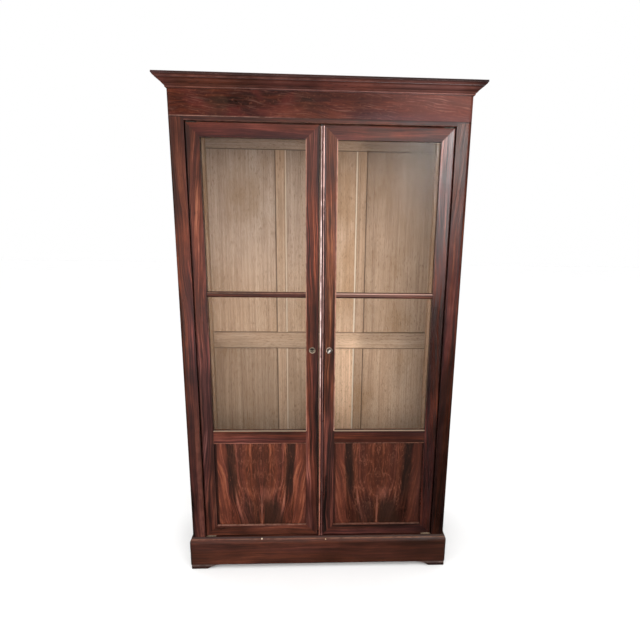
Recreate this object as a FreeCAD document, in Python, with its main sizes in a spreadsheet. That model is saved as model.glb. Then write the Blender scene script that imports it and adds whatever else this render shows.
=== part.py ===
import FreeCAD, Part
import math
import os
import Sketcher
from FreeCAD import Vector, Rotation, Placement

os.makedirs("parts", exist_ok=True)

doc = FreeCAD.newDocument("display_cabinet")

# Frame: +Z up, floor at z = 0, +X to the viewer's right, the front looks along -Y.
# The origin is the middle of the footprint box, on the floor. Millimetres.

sheet = doc.addObject("Spreadsheet::Sheet", "Sizes")

SIZES = [
    # overall
    ("total_height", 2200), ("half_width", 606), ("face_depth", 208), ("rear_depth", 250),
    ("crown_out", 42), ("corner_rad", 14),
    # posts
    ("post_width", 62), ("post_depth", 45), ("rear_post_width", 46), ("rear_post_depth", 56),
    # feet and plinth
    ("foot_height", 25), ("foot_length", 150), ("foot_flat", 76), ("foot_inset", 2), ("plinth_thick", 13), ("plinth_top", 168.6),
    ("plinth_round", 9),
    # rails and levels
    ("sill_top", 168), ("sill_low", 130), ("head_low", 2034), ("frieze_low", 2050),
    ("crown_low", 2150.5), ("frieze_thick", 20),
    ("side_low_rail", 250), ("side_top_rail", 1950), ("side_thick", 24), ("panel_thick", 8),
    ("bottom_thick", 18), ("top_thick", 12), ("dust_low", 2180), ("dust_thick", 10),
    # back
    ("back_front", 230), ("back_mid_low", 987), ("back_mid_top", 1077), ("back_top_low", 1986),
    ("back_low_top", 230), ("muntin_in", 173.5), ("muntin_out", 229), ("back_half", 560),
    ("back_panel_front", 237), ("back_panel_thick", 6), ("back_tongue", 6),
    # doors
    ("door_low", 171), ("door_top", 2031), ("door_edge", 542), ("door_face", 206),
    ("door_rear", 180), ("frame_width", 57), ("door_round", 7), ("rebate_face", 196),
    ("rebate", 8), ("lock_rail_low", 652), ("lock_rail_top", 713),
    ("bar_low", 1330), ("bar_top", 1353), ("glass_thick", 3), ("free_left", 7.5),
    ("free_right", 5), ("sight_left", 64.5), ("sight_right", 66),
    # pivots
    ("pivot_x", 531), ("pivot_y", 197), ("pin_rad", 4), ("pin_bore", 4.06),
    ("leaf_thick", 4), ("leaf_rad", 9.3), ("leaf_in", 495), ("plate_thick", 3),
    # lock, key and bolts
    ("lock_z", 1097), ("key_x", 38.5), ("false_x", 36.5), ("bolt_x", 30), ("bolt_y", 173.5),
    ("bolt_rad", 4),
    # astragal
    ("astragal_w", 22.5),
]


class Q:
    """A size with its expression text, so that geometry starts near its solved place."""

    def __init__(self, val, txt=None):
        self.val = float(val)
        self.txt = txt if txt is not None else repr(round(float(val), 6))

    @staticmethod
    def of(other):
        return other if isinstance(other, Q) else Q(other)

    def __add__(self, o):
        o = Q.of(o)
        return Q(self.val + o.val, "(%s + %s)" % (self.txt, o.txt))

    def __radd__(self, o):
        return Q.of(o) + self

    def __sub__(self, o):
        o = Q.of(o)
        return Q(self.val - o.val, "(%s - %s)" % (self.txt, o.txt))

    def __rsub__(self, o):
        return Q.of(o) - self

    def __mul__(self, o):
        o = Q.of(o)
        return Q(self.val * o.val, "(%s * %s)" % (self.txt, o.txt))

    def __rmul__(self, o):
        return Q.of(o) * self

    def __neg__(self):
        return Q(-self.val, "(0 - %s)" % self.txt)


S = {}
for row, (alias, value) in enumerate(SIZES, start=1):
    sheet.set("A%d" % row, alias)
    sheet.set("B%d" % row, str(value))
    sheet.setAlias("B%d" % row, alias)
    S[alias] = Q(value, "Sizes." + alias)
doc.recompute()

NODES = []          # (label, object)
CHECK = []          # every object that must be valid
COUNT = [0]


def uid(stem):
    COUNT[0] += 1
    return "%s_%03d" % (stem, COUNT[0])


def node(label, obj):
    obj.Label = label
    NODES.append((label, obj))
    return obj


def bind(obj, prop, q):
    q = Q.of(q)
    obj.setExpression(prop, q.txt)


def place(obj, x, y, z, rot=None):
    x, y, z = Q.of(x), Q.of(y), Q.of(z)
    obj.Placement = Placement(Vector(x.val, y.val, z.val), rot if rot else Rotation())
    bind(obj, "Placement.Base.x", x)
    bind(obj, "Placement.Base.y", y)
    bind(obj, "Placement.Base.z", z)


def box(x0, x1, y0, y1, z0, z1, stem="box"):
    x0, x1, y0, y1, z0, z1 = [Q.of(a) for a in (x0, x1, y0, y1, z0, z1)]
    o = doc.addObject("Part::Box", uid(stem))
    o.Length, o.Width, o.Height = x1.val - x0.val, y1.val - y0.val, z1.val - z0.val
    bind(o, "Length", x1 - x0)
    bind(o, "Width", y1 - y0)
    bind(o, "Height", z1 - z0)
    place(o, x0, y0, z0)
    CHECK.append(o)
    return o


def sbox(s, x0, x1, y0, y1, z0, z1, stem="box"):
    """A box given for the right side (s = 1), or its mirror image (s = -1)."""
    if s > 0:
        return box(x0, x1, y0, y1, z0, z1, stem)
    return box(-Q.of(x1), -Q.of(x0), y0, y1, z0, z1, stem)


ROT = {
    "Z": Rotation(),
    "Y": Rotation(Vector(1, 0, 0), -90),     # cylinder axis along +Y
    "X": Rotation(Vector(0, 1, 0), 90),      # cylinder axis along +X
}


def cyl(x, y, z, r, length, axis="Z", stem="cyl"):
    o = doc.addObject("Part::Cylinder", uid(stem))
    r, length = Q.of(r), Q.of(length)
    o.Radius, o.Height = r.val, length.val
    bind(o, "Radius", r)
    bind(o, "Height", length)
    place(o, x, y, z, ROT[axis])
    CHECK.append(o)
    return o


def cone(x, y, z, r1, r2, length, axis="Z", stem="cone"):
    o = doc.addObject("Part::Cone", uid(stem))
    r1, r2, length = Q.of(r1), Q.of(r2), Q.of(length)
    o.Radius1, o.Radius2, o.Height = r1.val, r2.val, length.val
    bind(o, "Radius1", r1)
    bind(o, "Radius2", r2)
    bind(o, "Height", length)
    place(o, x, y, z, ROT[axis])
    CHECK.append(o)
    return o


def origin_plane(body, role):
    for f in body.Origin.OriginFeatures:
        if f.Role == role:
            return f
    raise RuntimeError("no plane " + role)


def arc_geometry(p, q, r):
    """The minor arc from p to q: r > 0 turns left (counter-clockwise), r < 0 turns right."""
    dx, dy = q[0] - p[0], q[1] - p[1]
    d = math.hypot(dx, dy)
    rr = abs(r)
    h = math.sqrt(max(rr * rr - d * d / 4.0, 0.0))
    mx, my = (p[0] + q[0]) / 2.0, (p[1] + q[1]) / 2.0
    sgn = 1.0 if r > 0 else -1.0
    cx, cy = mx - sgn * dy / d * h, my + sgn * dx / d * h
    circle = Part.Circle(Vector(cx, cy, 0), Vector(0, 0, 1), rr)
    a0 = math.atan2(p[1] - cy, p[0] - cx)
    a1 = math.atan2(q[1] - cy, q[0] - cx)
    if r < 0:
        a0, a1 = a1, a0
    while a1 <= a0:
        a1 += 2 * math.pi
    return Part.ArcOfCircle(circle, a0, a1)


def prism(plane, verts, lo, hi, stem="prism"):
    """A closed profile drawn on an origin plane and padded from lo to hi along its normal.
    plane XY: (x, y) padded along Z; XZ: (x, z) along Y; YZ: (y, z) along X.
    A vertex is (u, v) or (u, v, r), r being the radius of the arc that leaves it."""
    lo, hi = Q.of(lo), Q.of(hi)
    body = doc.addObject("PartDesign::Body", uid(stem))
    sk = body.newObject("Sketcher::SketchObject", uid("sketch"))
    sk.AttachmentSupport = [(origin_plane(body, plane + "_Plane"), "")]
    sk.MapMode = "FlatFace"
    n = len(verts)
    pts = [(Q.of(v[0]), Q.of(v[1])) for v in verts]
    ends = []
    for i in range(n):
        p, q = pts[i], pts[(i + 1) % n]
        pv, qv = (p[0].val, p[1].val), (q[0].val, q[1].val)
        r = verts[i][2] if len(verts[i]) > 2 else None
        if r is None:
            g = sk.addGeometry(Part.LineSegment(Vector(pv[0], pv[1], 0), Vector(qv[0], qv[1], 0)), False)
            ends.append((g, 1, 2, None))
        else:
            r = Q.of(r)
            g = sk.addGeometry(arc_geometry(pv, qv, r.val), False)
            ends.append((g, 1, 2, r) if r.val > 0 else (g, 2, 1, r))
    for i in range(n):
        g, a, b, r = ends[i]
        g2, a2, b2, r2 = ends[(i + 1) % n]
        sk.addConstraint(Sketcher.Constraint("Coincident", g, b, g2, a2))
    for i in range(n):
        g, a, b, r = ends[i]
        for kind, q in (("DistanceX", pts[i][0]), ("DistanceY", pts[i][1])):
            k = sk.addConstraint(Sketcher.Constraint(kind, -1, 1, g, a, q.val))
            sk.setExpression("Constraints[%d]" % k, q.txt)
        if r is not None:
            k = sk.addConstraint(Sketcher.Constraint("Radius", g, abs(r.val)))
            sk.setExpression("Constraints[%d]" % k, r.txt if r.val > 0 else "(0 - %s)" % r.txt)
    pad = body.newObject("PartDesign::Pad", uid("pad"))
    pad.Profile = sk
    pad.Length = hi.val - lo.val
    bind(pad, "Length", hi - lo)
    sk.Visibility = False
    if plane == "XY":
        place(body, 0, 0, lo)
    elif plane == "XZ":
        place(body, 0, hi, 0)       # this plane's normal is -Y
    else:
        place(body, lo, 0, 0)
    CHECK.extend([sk, pad, body])
    return body


def mir(verts, s):
    """Mirror a profile's first coordinate for the left side; arcs turn the other way."""
    if s > 0:
        return verts
    out = []
    for v in verts:
        if len(v) > 2:
            out.append((-Q.of(v[0]), v[1], -Q.of(v[2])))
        else:
            out.append((-Q.of(v[0]), v[1]))
    return out


def fuse(parts, stem="fuse"):
    if len(parts) == 1:
        return parts[0]
    o = doc.addObject("Part::MultiFuse", uid(stem))
    o.Shapes = parts
    o.Refine = True
    CHECK.append(o)
    return o


def group(parts, stem="group"):
    o = doc.addObject("Part::Compound", uid(stem))
    o.Links = parts
    CHECK.append(o)
    return o


def cut(base, tools, stem="cut"):
    o = doc.addObject("Part::Cut", uid(stem))
    o.Base = base
    o.Tool = tools[0] if len(tools) == 1 else fuse(tools, "tool")
    CHECK.append(o)
    return o


def common(a, b, stem="common"):
    o = doc.addObject("Part::Common", uid(stem))
    o.Base = a
    o.Tool = b
    CHECK.append(o)
    return o


HW, FACE, REAR = S["half_width"], S["face_depth"], S["rear_depth"]
RC = S["corner_rad"]
D45 = 1 - math.sqrt(0.5)

# ---------------------------------------------------------------- feet
# Low bracket feet, a little inside the plinth's face, their inner ends sweeping up to it.
PT = S["plinth_thick"]
RP = S["plinth_round"]
out_x = HW + PT
out_y = FACE + PT


def foot(s, front):
    fh, fl, ff = S["foot_height"], S["foot_length"], S["foot_flat"]
    fx, fy = out_x - S["foot_inset"], out_y - S["foot_inset"]
    a = prism("XZ", mir([(fx, fh), (fx, 5, -5), (fx - 5, 0), (out_x - ff, 0, 130),
                         (out_x - fl, fh)], s), -fy, REAR, "foot_long")
    if front:
        b = prism("YZ", [(-fy, fh), (-fy, 5, 5), (5 - fy, 0), (ff - out_y, 0, -130),
                         (fl - out_y, fh)], -out_x, out_x, "foot_side")
        plan = prism("XY", mir([(out_x - fl - 5, -fy), (fx - RP, -fy, RP), (fx, RP - fy),
                                (fx, fl - out_y + 5), (out_x - fl - 5, fl - out_y + 5)], s),
                     -5, fh + 5, "foot_plan")
        return common(common(a, b), plan, "foot")
    b = prism("YZ", [(REAR, fh), (REAR, 0), (REAR - 62, 0, 60), (REAR - 100, fh)], -out_x, out_x, "foot_side")
    half = sbox(s, out_x - fl - 5, out_x + 5, REAR - 110, REAR + 5, -5, fh + 5)
    return common(common(a, b), half, "foot")


node("feet", group([foot(-1, True), foot(1, True), foot(-1, False), foot(1, False)]))

# ---------------------------------------------------------------- plinth
pl_lo, pl_top = S["foot_height"], S["plinth_top"]


def plinth_profile(u):
    """Board section: u(q) maps the distance out from the carcase face to the sketch axis."""
    def v(q, z, r=None):
        x = u(Q.of(q))
        return (x, z) if r is None else (x, z, r)
    return v


def plinth_verts(u, flip):
    v = plinth_profile(u)
    sg = -1 if flip else 1
    return [v(-5, pl_lo), v(PT - 2, pl_lo, 2 * sg), v(PT, pl_lo + 2), v(PT, pl_top - 31, 58 * sg),
            v(1.8, pl_top - 0.6), v(0, pl_top), v(-5, pl_top)]


pf = prism("YZ", plinth_verts(lambda q: -FACE - q, True), -out_x, out_x, "plinth_run")
# inside, each board follows the rounded corner of the post it is glued to
pf_plan = prism("XY", [(RC - HW, -FACE, -RC), (RC * D45 - HW, RC * D45 - FACE),
                       (RP * D45 - out_x, RP * D45 - out_y, RP), (RP - out_x, -out_y),
                       (out_x - RP, -out_y, RP), (out_x - RP * D45, RP * D45 - out_y),
                       (HW - RC * D45, RC * D45 - FACE, -RC), (HW - RC, -FACE)],
                pl_lo - 5, pl_top + 5, "plinth_plan")
node("plinth_front", common(pf, pf_plan))
for s, name in ((-1, "plinth_left"), (1, "plinth_right")):
    run = prism("XZ", mir(plinth_verts(lambda q: HW + q, False), s), -out_y, REAR, "plinth_run")
    plan = prism("XY", mir([(HW - RC * D45, RC * D45 - FACE), (out_x - RP * D45, RP * D45 - out_y, RP),
                            (out_x, RP - out_y), (out_x, REAR), (HW, REAR), (HW, RC - FACE, -RC)], s),
                 pl_lo - 5, pl_top + 5, "plinth_plan")
    node(name, common(run, plan))

# ---------------------------------------------------------------- carcase posts and rails
PW, PD = S["post_width"], S["post_depth"]
RPW, RPD = S["rear_post_width"], S["rear_post_depth"]
FL = S["frieze_low"]
SL, SLL, HL = S["sill_top"], S["sill_low"], S["head_low"]
ST = S["side_thick"]
PNT = S["panel_thick"]
post_in = HW - PW
post_back = PD - FACE          # y of a front post's rear face
rpost_front = REAR - RPD       # y of a rear post's front face
SLO, STO = S["side_low_rail"], S["side_top_rail"]
BF = S["back_front"]
BH = S["back_half"]
BPF, BPT, BT = S["back_panel_front"], S["back_panel_thick"], S["back_tongue"]
BML, BMT, BTL, BLT = S["back_mid_low"], S["back_mid_top"], S["back_top_low"], S["back_low_top"]
MI, MO = S["muntin_in"], S["muntin_out"]


def tenon_side(s, z0, z1, grow=0):
    return sbox(s, HW - 17, HW - 7, post_back - 15, rpost_front + 15, z0, z1, "tenon")


def tenon_front(z0, z1):
    return box(-post_in - 15, post_in + 15, -FACE + 15, -FACE + 30, z0, z1, "tenon")


def panel_groove(s):
    return sbox(s, HW - 16 - 0.3, HW - 16 + PNT + 0.3, post_back - 9, rpost_front + 9,
                SLO - 9, STO + 9, "groove")


def back_grooves():
    out = []
    g, e = 0.2, BT + 0.8
    for z0, z1 in ((BLT, BML), (BMT, BTL)):
        for x0, x1 in ((-BH, -MO), (-MI, MI), (MO, BH)):
            out.append(box(x0 - e, x1 + e, BPF - g, BPF + BPT + g, z0 - e, z1 + e, "groove"))
    return out


def back_tenons():
    return [box(-BH - 14, BH + 14, BF + 5, BF + 15, z0 + 8, z1 - 8, "tenon")
            for z0, z1 in ((SLL, BLT), (BML, BMT), (BTL, FL))]


for s, name in ((-1, "front_post_left"), (1, "front_post_right")):
    p = prism("XY", mir([(post_in, -FACE), (HW - RC, -FACE, RC), (HW, RC - FACE), (HW, post_back),
                         (post_in, post_back)], s), S["foot_height"], FL, "post")
    node(name, cut(p, [tenon_front(SLL + 5, SL - 5), tenon_front(HL + 4, FL - 4),
                       tenon_side(s, SLL + 10, SLO - 12), tenon_side(s, STO + 12, FL - 10),
                       panel_groove(s)]))
for s, name in ((-1, "rear_post_left"), (1, "rear_post_right")):
    p = sbox(s, HW - RPW, HW, rpost_front, REAR, S["foot_height"], FL, "post")
    node(name, cut(p, [tenon_side(s, SLL + 10, SLO - 12), tenon_side(s, STO + 12, FL - 10),
                       panel_groove(s)] + back_grooves() + back_tenons()))


def sbolt(s, z0, z1, r, stem="bore"):
    return cyl(-S["bolt_x"] if s < 0 else S["bolt_x"], -S["bolt_y"], z0, r, Q.of(z1) - Q.of(z0), "Z", stem)


PX, PY = S["pivot_x"], S["pivot_y"]


def frame_plate(s, low):
    z0 = SL - S["plate_thick"] if low else HL
    z1 = SL if low else HL + S["plate_thick"]
    return sbox(s, S["leaf_in"] + 1, post_in - 2, -PY - 8, 8 - PY, z0, z1, "plate")


def sx(s, x):
    return x if s > 0 else -Q.of(x)


keeper_z = 2
sill = fuse([box(-post_in, post_in, -FACE, post_back, SLL, SL, "sill"), tenon_front(SLL + 5, SL - 5)])
node("sill_rail", cut(sill, [frame_plate(-1, True), frame_plate(1, True),
                             box(-S["bolt_x"] - 15, 15 - S["bolt_x"], -S["bolt_y"] - 9, 9 - S["bolt_y"],
                                 SL - keeper_z, SL + 1, "mortise"),
                             sbolt(-1, SL - 28, SL + 1, S["bolt_rad"] + 0.5),
                             cyl(sx(-1, PX), -PY, SL - 6, S["pin_rad"] + 0.5, 5, "Z"),
                             cyl(PX, -PY, SL - 6, S["pin_rad"] + 0.5, 5, "Z")]))
head_run = prism("YZ", [(-FACE, FL), (-FACE, HL + 3, 3), (3 - FACE, HL), (post_back, HL), (post_back, FL)],
                 -post_in, post_in, "head")
head = fuse([head_run, tenon_front(HL + 4, FL - 4)])
node("head_rail", cut(head, [frame_plate(-1, False), frame_plate(1, False),
                             box(-S["bolt_x"] - 15, 15 - S["bolt_x"], -S["bolt_y"] - 9, 9 - S["bolt_y"],
                                 HL - 1, HL + keeper_z, "mortise"),
                             sbolt(-1, HL - 1, FL + 1, S["bolt_rad"] + 0.5)]))


def bottom_board_profile(extra):
    return [(-HW + 18 - extra, post_back), (HW - 18 + extra, post_back), (HW - 18 + extra, rpost_front),
            (BH, rpost_front), (BH, BF), (-BH, BF), (-BH, rpost_front), (-HW + 18 - extra, rpost_front)]


board_low = SL - S["bottom_thick"]
node("bottom_board", prism("XY", bottom_board_profile(0), board_low, SL, "board"))

rails = []
for s in (-1, 1):
    for z0, z1, t0, t1 in ((SLL, SLO, SLL + 10, SLO - 12), (STO, FL, STO + 12, FL - 10)):
        r = fuse([sbox(s, HW - ST, HW, post_back, rpost_front, z0, z1, "side_rail"), tenon_side(s, t0, t1)])
        tools = [panel_groove(s)]
        if z0 is SLL:
            tools.append(sbox(s, HW - ST - 1, HW - 18, post_back - 1, rpost_front + 1, board_low, SL, "groove"))
        rails.append(cut(r, tools))
node("side_rails", group(rails))
for s, name in ((-1, "side_panel_left"), (1, "side_panel_right")):
    node(name, sbox(s, HW - 16, HW - 16 + PNT, post_back - 8, rpost_front + 8, SLO - 8, STO + 8, "panel"))

node("top_board", box(-HW + S["frieze_thick"] + 2, HW - S["frieze_thick"] - 2, S["frieze_thick"] + 2 - FACE,
                      BF - 2, FL, FL + S["top_thick"], "board"))

# ---------------------------------------------------------------- framed back
back_rails = []
for (z0, z1), t in zip(((SLL, BLT), (BML, BMT), (BTL, FL)), back_tenons()):
    back_rails.append(cut(fuse([box(-BH, BH, BF, REAR, z0, z1, "back_rail"), t]), back_grooves()))
node("back_rails", group(back_rails))
munts = []
for z0, z1 in ((BLT, BML), (BMT, BTL)):
    for s in (-1, 1):
        munts.append(cut(sbox(s, MI, MO, BF, REAR, z0, z1, "muntin"), back_grooves()))
node("back_muntins", group(munts))
node("back_panels", group([box(x0 - BT, x1 + BT, BPF, BPF + BPT, z0 - BT, z1 + BT, "panel")
                           for z0, z1 in ((BLT, BML), (BMT, BTL))
                           for x0, x1 in ((-BH, -MO), (-MI, MI), (MO, BH))]))

# ---------------------------------------------------------------- frieze and crown
FT = S["frieze_thick"]
CL, TH, CO = S["crown_low"], S["total_height"], S["crown_out"]
node("frieze_front", prism("XY", [
    (FT - HW, FT - FACE), (RC * D45 - HW, RC * D45 - FACE, RC), (RC - HW, -FACE), (HW - RC, -FACE, RC),
    (HW - RC * D45, RC * D45 - FACE), (HW - FT, FT - FACE)], FL, CL, "frieze"))
for s, name in ((-1, "frieze_left"), (1, "frieze_right")):
    node(name, prism("XY", mir([(HW - FT, FT - FACE), (HW - RC * D45, RC * D45 - FACE, RC), (HW, RC - FACE),
                                (HW, REAR), (HW - FT, REAR)], s), FL, CL, "frieze"))
node("frieze_rear", box(FT - HW, HW - FT, REAR - 20, REAR, FL, S["dust_low"], "frieze"))


def crown_verts(u, flip):
    """Crown section from the frieze out: bead, cove, quirk, ovolo and top fillet."""
    sg = -1 if flip else 1
    rows = [(-FT, CL, None), (1.0, CL, None), (1.0, CL + 1.0, None), (2.4, CL + 1.4, 3.2),
            (2.4, CL + 6.9, None), (3.2, CL + 7.7, -12), (9.4, CL + 11.5, -100), (29.8, CL + 31.1, None),
            (31.6, CL + 31.1, None), (31.6, CL + 33.3, 11.5), (40.2, CL + 42.5, None), (CO, CL + 42.5, None),
            (CO, TH, None), (-FT, TH, None)]
    out = []
    for q, z, r in rows:
        x = u(Q.of(q))
        out.append((x, z) if r is None else (x, z, r * sg))
    return out


reach = CO + 4
cf = prism("YZ", crown_verts(lambda q: -FACE - q, True), -HW - CO, HW + CO, "crown_run")
cf_plan = prism("XY", [(FT - HW, FT - FACE), (-HW - reach, -FACE - reach), (HW + reach, -FACE - reach),
                       (HW - FT, FT - FACE)], CL - 5, TH + 5, "crown_plan")
node("cornice_front", common(cf, cf_plan))
for s, name in ((-1, "cornice_left"), (1, "cornice_right")):
    run = prism("XZ", mir(crown_verts(lambda q: HW + q, False), s), -FACE - CO, REAR, "crown_run")
    plan = prism("XY", mir([(HW - FT, FT - FACE), (HW + reach, -FACE - reach), (HW + reach, REAR + 5),
                            (HW - FT, REAR + 5)], s), CL - 5, TH + 5, "crown_plan")
    node(name, common(run, plan))
node("dust_board", box(FT - HW, HW - FT, FT - FACE, REAR, S["dust_low"], S["dust_low"] + S["dust_thick"], "dust"))

# ---------------------------------------------------------------- carcase hardware
fixed_pivots = []
for s in (-1, 1):
    low = fuse([frame_plate(s, True), cyl(sx(s, PX), -PY, SL - 3, S["pin_rad"], 20, "Z"),
                cyl(sx(s, PX), -PY, SL, 7, 2.7, "Z")])
    top = fuse([frame_plate(s, False), cyl(sx(s, PX), -PY, HL - 17, S["pin_rad"], 20, "Z"),
                cyl(sx(s, PX), -PY, HL - 2.7, 7, 2.7, "Z")])
    fixed_pivots += [low, top]
node("pivot_plates", group(fixed_pivots))
BX, BY, BR = S["bolt_x"], S["bolt_y"], S["bolt_rad"]
node("bolt_keepers", group([
    cut(box(-BX - 15, 15 - BX, -BY - 9, 9 - BY, SL - keeper_z, SL, "keeper"), [sbolt(-1, SL - 5, SL + 5, BR + 0.5)]),
    cut(box(-BX - 15, 15 - BX, -BY - 9, 9 - BY, HL, HL + keeper_z, "keeper"), [sbolt(-1, HL - 5, HL + 5, BR + 0.5)])]))

# ---------------------------------------------------------------- doors
DL, DT, DE = S["door_low"], S["door_top"], S["door_edge"]
DF, DR, FW = S["door_face"], S["door_rear"], S["frame_width"]
RD = S["door_round"]
RF, RB = S["rebate_face"], S["rebate"]
LRL, LRT = S["lock_rail_low"], S["lock_rail_top"]
BL, BTP = S["bar_low"], S["bar_top"]
GT = S["glass_thick"]
LZ = S["lock_z"]
E = 5


def leaf(s, low):
    z0 = DL if low else DT - S["leaf_thick"]
    z1 = DL + S["leaf_thick"] if low else DT
    r = S["leaf_rad"]
    return prism("XY", mir([(S["leaf_in"], -PY - r), (PX, -PY - r, r + 0.0001), (PX, r - PY),
                            (S["leaf_in"], r - PY)], s), z0, z1, "leaf")


def pin_bores(s, r=None):
    r = S["pin_rad"] + 0.5 if r is None else r
    return [cyl(sx(s, PX), -PY, DL - 1, r, 18, "Z", "bore"), cyl(sx(s, PX), -PY, DT - 17, r, 18, "Z", "bore")]


def screw(x, y0, z, depth=10):
    """Round-head screw, its head on the face y0 towards the rear, its shank running forward."""
    return fuse([cone(x, y0, z, 3.0, 1.6, 1.6, "Y", "head"), cyl(x, y0 - depth, z, 1.5, depth, "Y", "shank")],
                "screw")


def screw_bore(x, y0, z, depth=10):
    return cyl(x, y0 - depth - 0.5, z, 1.6, depth + 1, "Y", "bore")


def door(s, side, free, sight, holes_meeting):
    """One door, described for the right side; free is the meeting edge's x, sight the inner edge of
    its meeting stile, both measured towards the hinge side."""
    hin = DE - FW          # hinge stile's sight edge
    fr = FW

    def P(plane, verts, lo, hi, stem):
        if plane == "YZ":
            if s > 0:
                return prism(plane, verts, lo, hi, stem)
            return prism(plane, verts, -Q.of(hi), -Q.of(lo), stem)
        return prism(plane, mir(verts, s), lo, hi, stem)

    def B(x0, x1, y0, y1, z0, z1, stem="box"):
        return sbox(s, x0, x1, y0, y1, z0, z1, stem)

    tin, bin_ = DT - fr, DL + fr       # sight levels of the top and bottom rails
    y0, y1 = -DF - 6, 6 - DR

    def corner(x_in, x_out_sign, z_in, z_sign):
        # waste of a stile beyond the 45 degree mitre through (x_in, z_in)
        a = (x_in - E * x_out_sign, z_in - E * z_sign)
        b = (x_in + (fr + E) * x_out_sign, z_in + (fr + E) * z_sign)
        c = (x_in - E * x_out_sign, z_in + (fr + E) * z_sign)
        return P("XZ", [a, b, c], y0, y1, "mitre")

    lock_tenons = [B(sight - RB - 22, sight - RB, -RF + 4, 12 - RF, LRL + 12, LRT - 12, "tenon"),
                   B(hin + RB, hin + RB + 22, -RF + 4, 12 - RF, LRL + 12, LRT - 12, "tenon")]

    # hinge stile, rounded on its outer front edge, rebated behind its sight edge
    hs = P("XY", [(hin, -DF), (DE - RD, -DF, RD), (DE, RD - DF), (DE, -DR), (hin + RB, -DR),
                  (hin + RB, -RF), (hin, -RF)], DL, DT, "stile")
    node(side + "_hinge_stile", cut(hs, [corner(hin, 1, tin, 1), corner(hin, 1, bin_, -1), lock_tenons[1],
                                         leaf(s, True), leaf(s, False)] + pin_bores(s)))
    # meeting stile
    ms = P("XY", [(free + 2.5, -DF), (sight, -DF), (sight, -RF), (sight - RB, -RF), (sight - RB, -DR),
                  (free, -DR), (free, 2.5 - DF, 2.5)], DL, DT, "stile")
    node(side + "_meeting_stile", cut(ms, [corner(sight, -1, tin, 1), corner(sight, -1, bin_, -1),
                                           lock_tenons[0]] + holes_meeting))
    # mitred top and bottom rails
    trap_top = P("XZ", [(sight + E, tin - E), (hin - E, tin - E), (DE + E, DT + E),
                        (sight - fr - E, DT + E)], y0, y1, "mitre")
    trap_low = P("XZ", [(sight + E, bin_ + E), (sight - fr - E, DL - E), (DE + E, DL - E),
                        (hin - E, bin_ + E)], y0, y1, "mitre")
    x_lo = sight - fr
    top = P("YZ", [(-DF, tin), (-DF, DT - RD, -RD), (RD - DF, DT), (-DR, DT), (-DR, tin + RB),
                   (-RF, tin + RB), (-RF, tin)], x_lo, DE, "rail")
    low = P("YZ", [(-DF, bin_), (-DF, DL + RD, RD), (RD - DF, DL), (-DR, DL), (-DR, bin_ - RB),
                   (-RF, bin_ - RB), (-RF, bin_)], x_lo, DE, "rail")
    node(side + "_top_rail", cut(common(top, trap_top), [leaf(s, False)] + pin_bores(s)))
    node(side + "_bottom_rail", cut(common(low, trap_low), [leaf(s, True)] + pin_bores(s)))
    # lock rail: flush front shoulder, rear part filling the stiles' rebates, stub tenons
    node(side + "_lock_rail", fuse([B(sight, hin, -DF, -RF, LRL, LRT, "rail"),
                                    B(sight - RB, hin + RB, -RF, -DR, LRL + RB, LRT - RB, "rail")] + lock_tenons))
    # glazing bar, rounded nose in front, a thin web between the panes behind
    nose = P("YZ", [(-RF, BL), (-RF - 3.5, BL, -6.5), (2 - DF, BL + 6), (2 - DF, BTP - 6, -6.5),
                    (-RF - 3.5, BTP), (-RF, BTP)], sight, hin, "bar")
    web = B(sight - RB, hin + RB, -RF, -DR, BL + RB, BTP - RB, "bar")
    node(side + "_glazing_bar", fuse([nose, web]))
    g = 0.5
    node(side + "_glass", group([
        B(sight - RB + g, hin + RB - g, -RF, GT - RF, LRT - RB + g, BL + RB - g, "pane"),
        B(sight - RB + g, hin + RB - g, -RF, GT - RF, BTP - RB + g, tin + RB - g, "pane")]))
    node(side + "_lower_panel", B(sight - RB + g, hin + RB - g, -RF, PNT - RF, bin_ - RB + g, LRL + RB - g, "panel"))
    beads = []
    for zb0, zb1, yf in ((LRT - RB, BL + RB, GT - RF), (BTP - RB, tin + RB, GT - RF),
                         (bin_ - RB, LRL + RB, PNT - RF)):
        beads.append(B(sight - RB, hin + RB, yf, -DR, zb0, zb0 + RB, "bead"))
        beads.append(B(sight - RB, hin + RB, yf, -DR, zb1 - RB, zb1, "bead"))
        beads.append(B(sight - RB, sight, yf, -DR, zb0 + RB, zb1 - RB, "bead"))
        beads.append(B(hin, hin + RB, yf, -DR, zb0 + RB, zb1 - RB, "bead"))
    node(side + "_glazing_beads", group(beads))
    hole = [cyl(sx(s, PX), -PY, DL - 1, S["pin_bore"], 6, "Z", "bore")]
    hole2 = [cyl(sx(s, PX), -PY, DT - 5, S["pin_bore"], 6, "Z", "bore")]
    node(side + "_pivot_leaves", group([cut(leaf(s, True), hole), cut(leaf(s, False), hole2)]))


# Screw places: bolt guides and keeper on the left door, lock case on the right one.
FX = S["false_x"]
KX = S["key_x"]
guide_t = 2
guides = ((Q.of(1850), Q.of(1980)), (Q.of(222), Q.of(352)))
left_screws = []
for z0, z1 in guides:
    for z in (z0 + 8, z1 - 8):
        left_screws.append((-BX - 7, z))
        left_screws.append((7 - BX, z))
keeper_screws = [(Q.of(-26.0), LZ - 5), (Q.of(-26.0), LZ + 39)]
lock_screws = [(Q.of(2), LZ - 36), (Q.of(52), LZ - 36), (Q.of(2), LZ + 42), (Q.of(52), LZ + 42)]

left_holes = [screw_bore(x, guide_t - DR, z) for x, z in left_screws]
left_holes += [screw_bore(x, 1.5 - DR, z) for x, z in keeper_screws]
left_holes.append(cyl(-FX, -DF - 1, LZ, 5, 12, "Y", "bore"))
right_holes = [screw_bore(x, 1.5 - DR, z) for x, z in lock_screws]
right_holes.append(cyl(KX, -DF - 1, LZ, 5, 30, "Y", "bore"))

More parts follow.
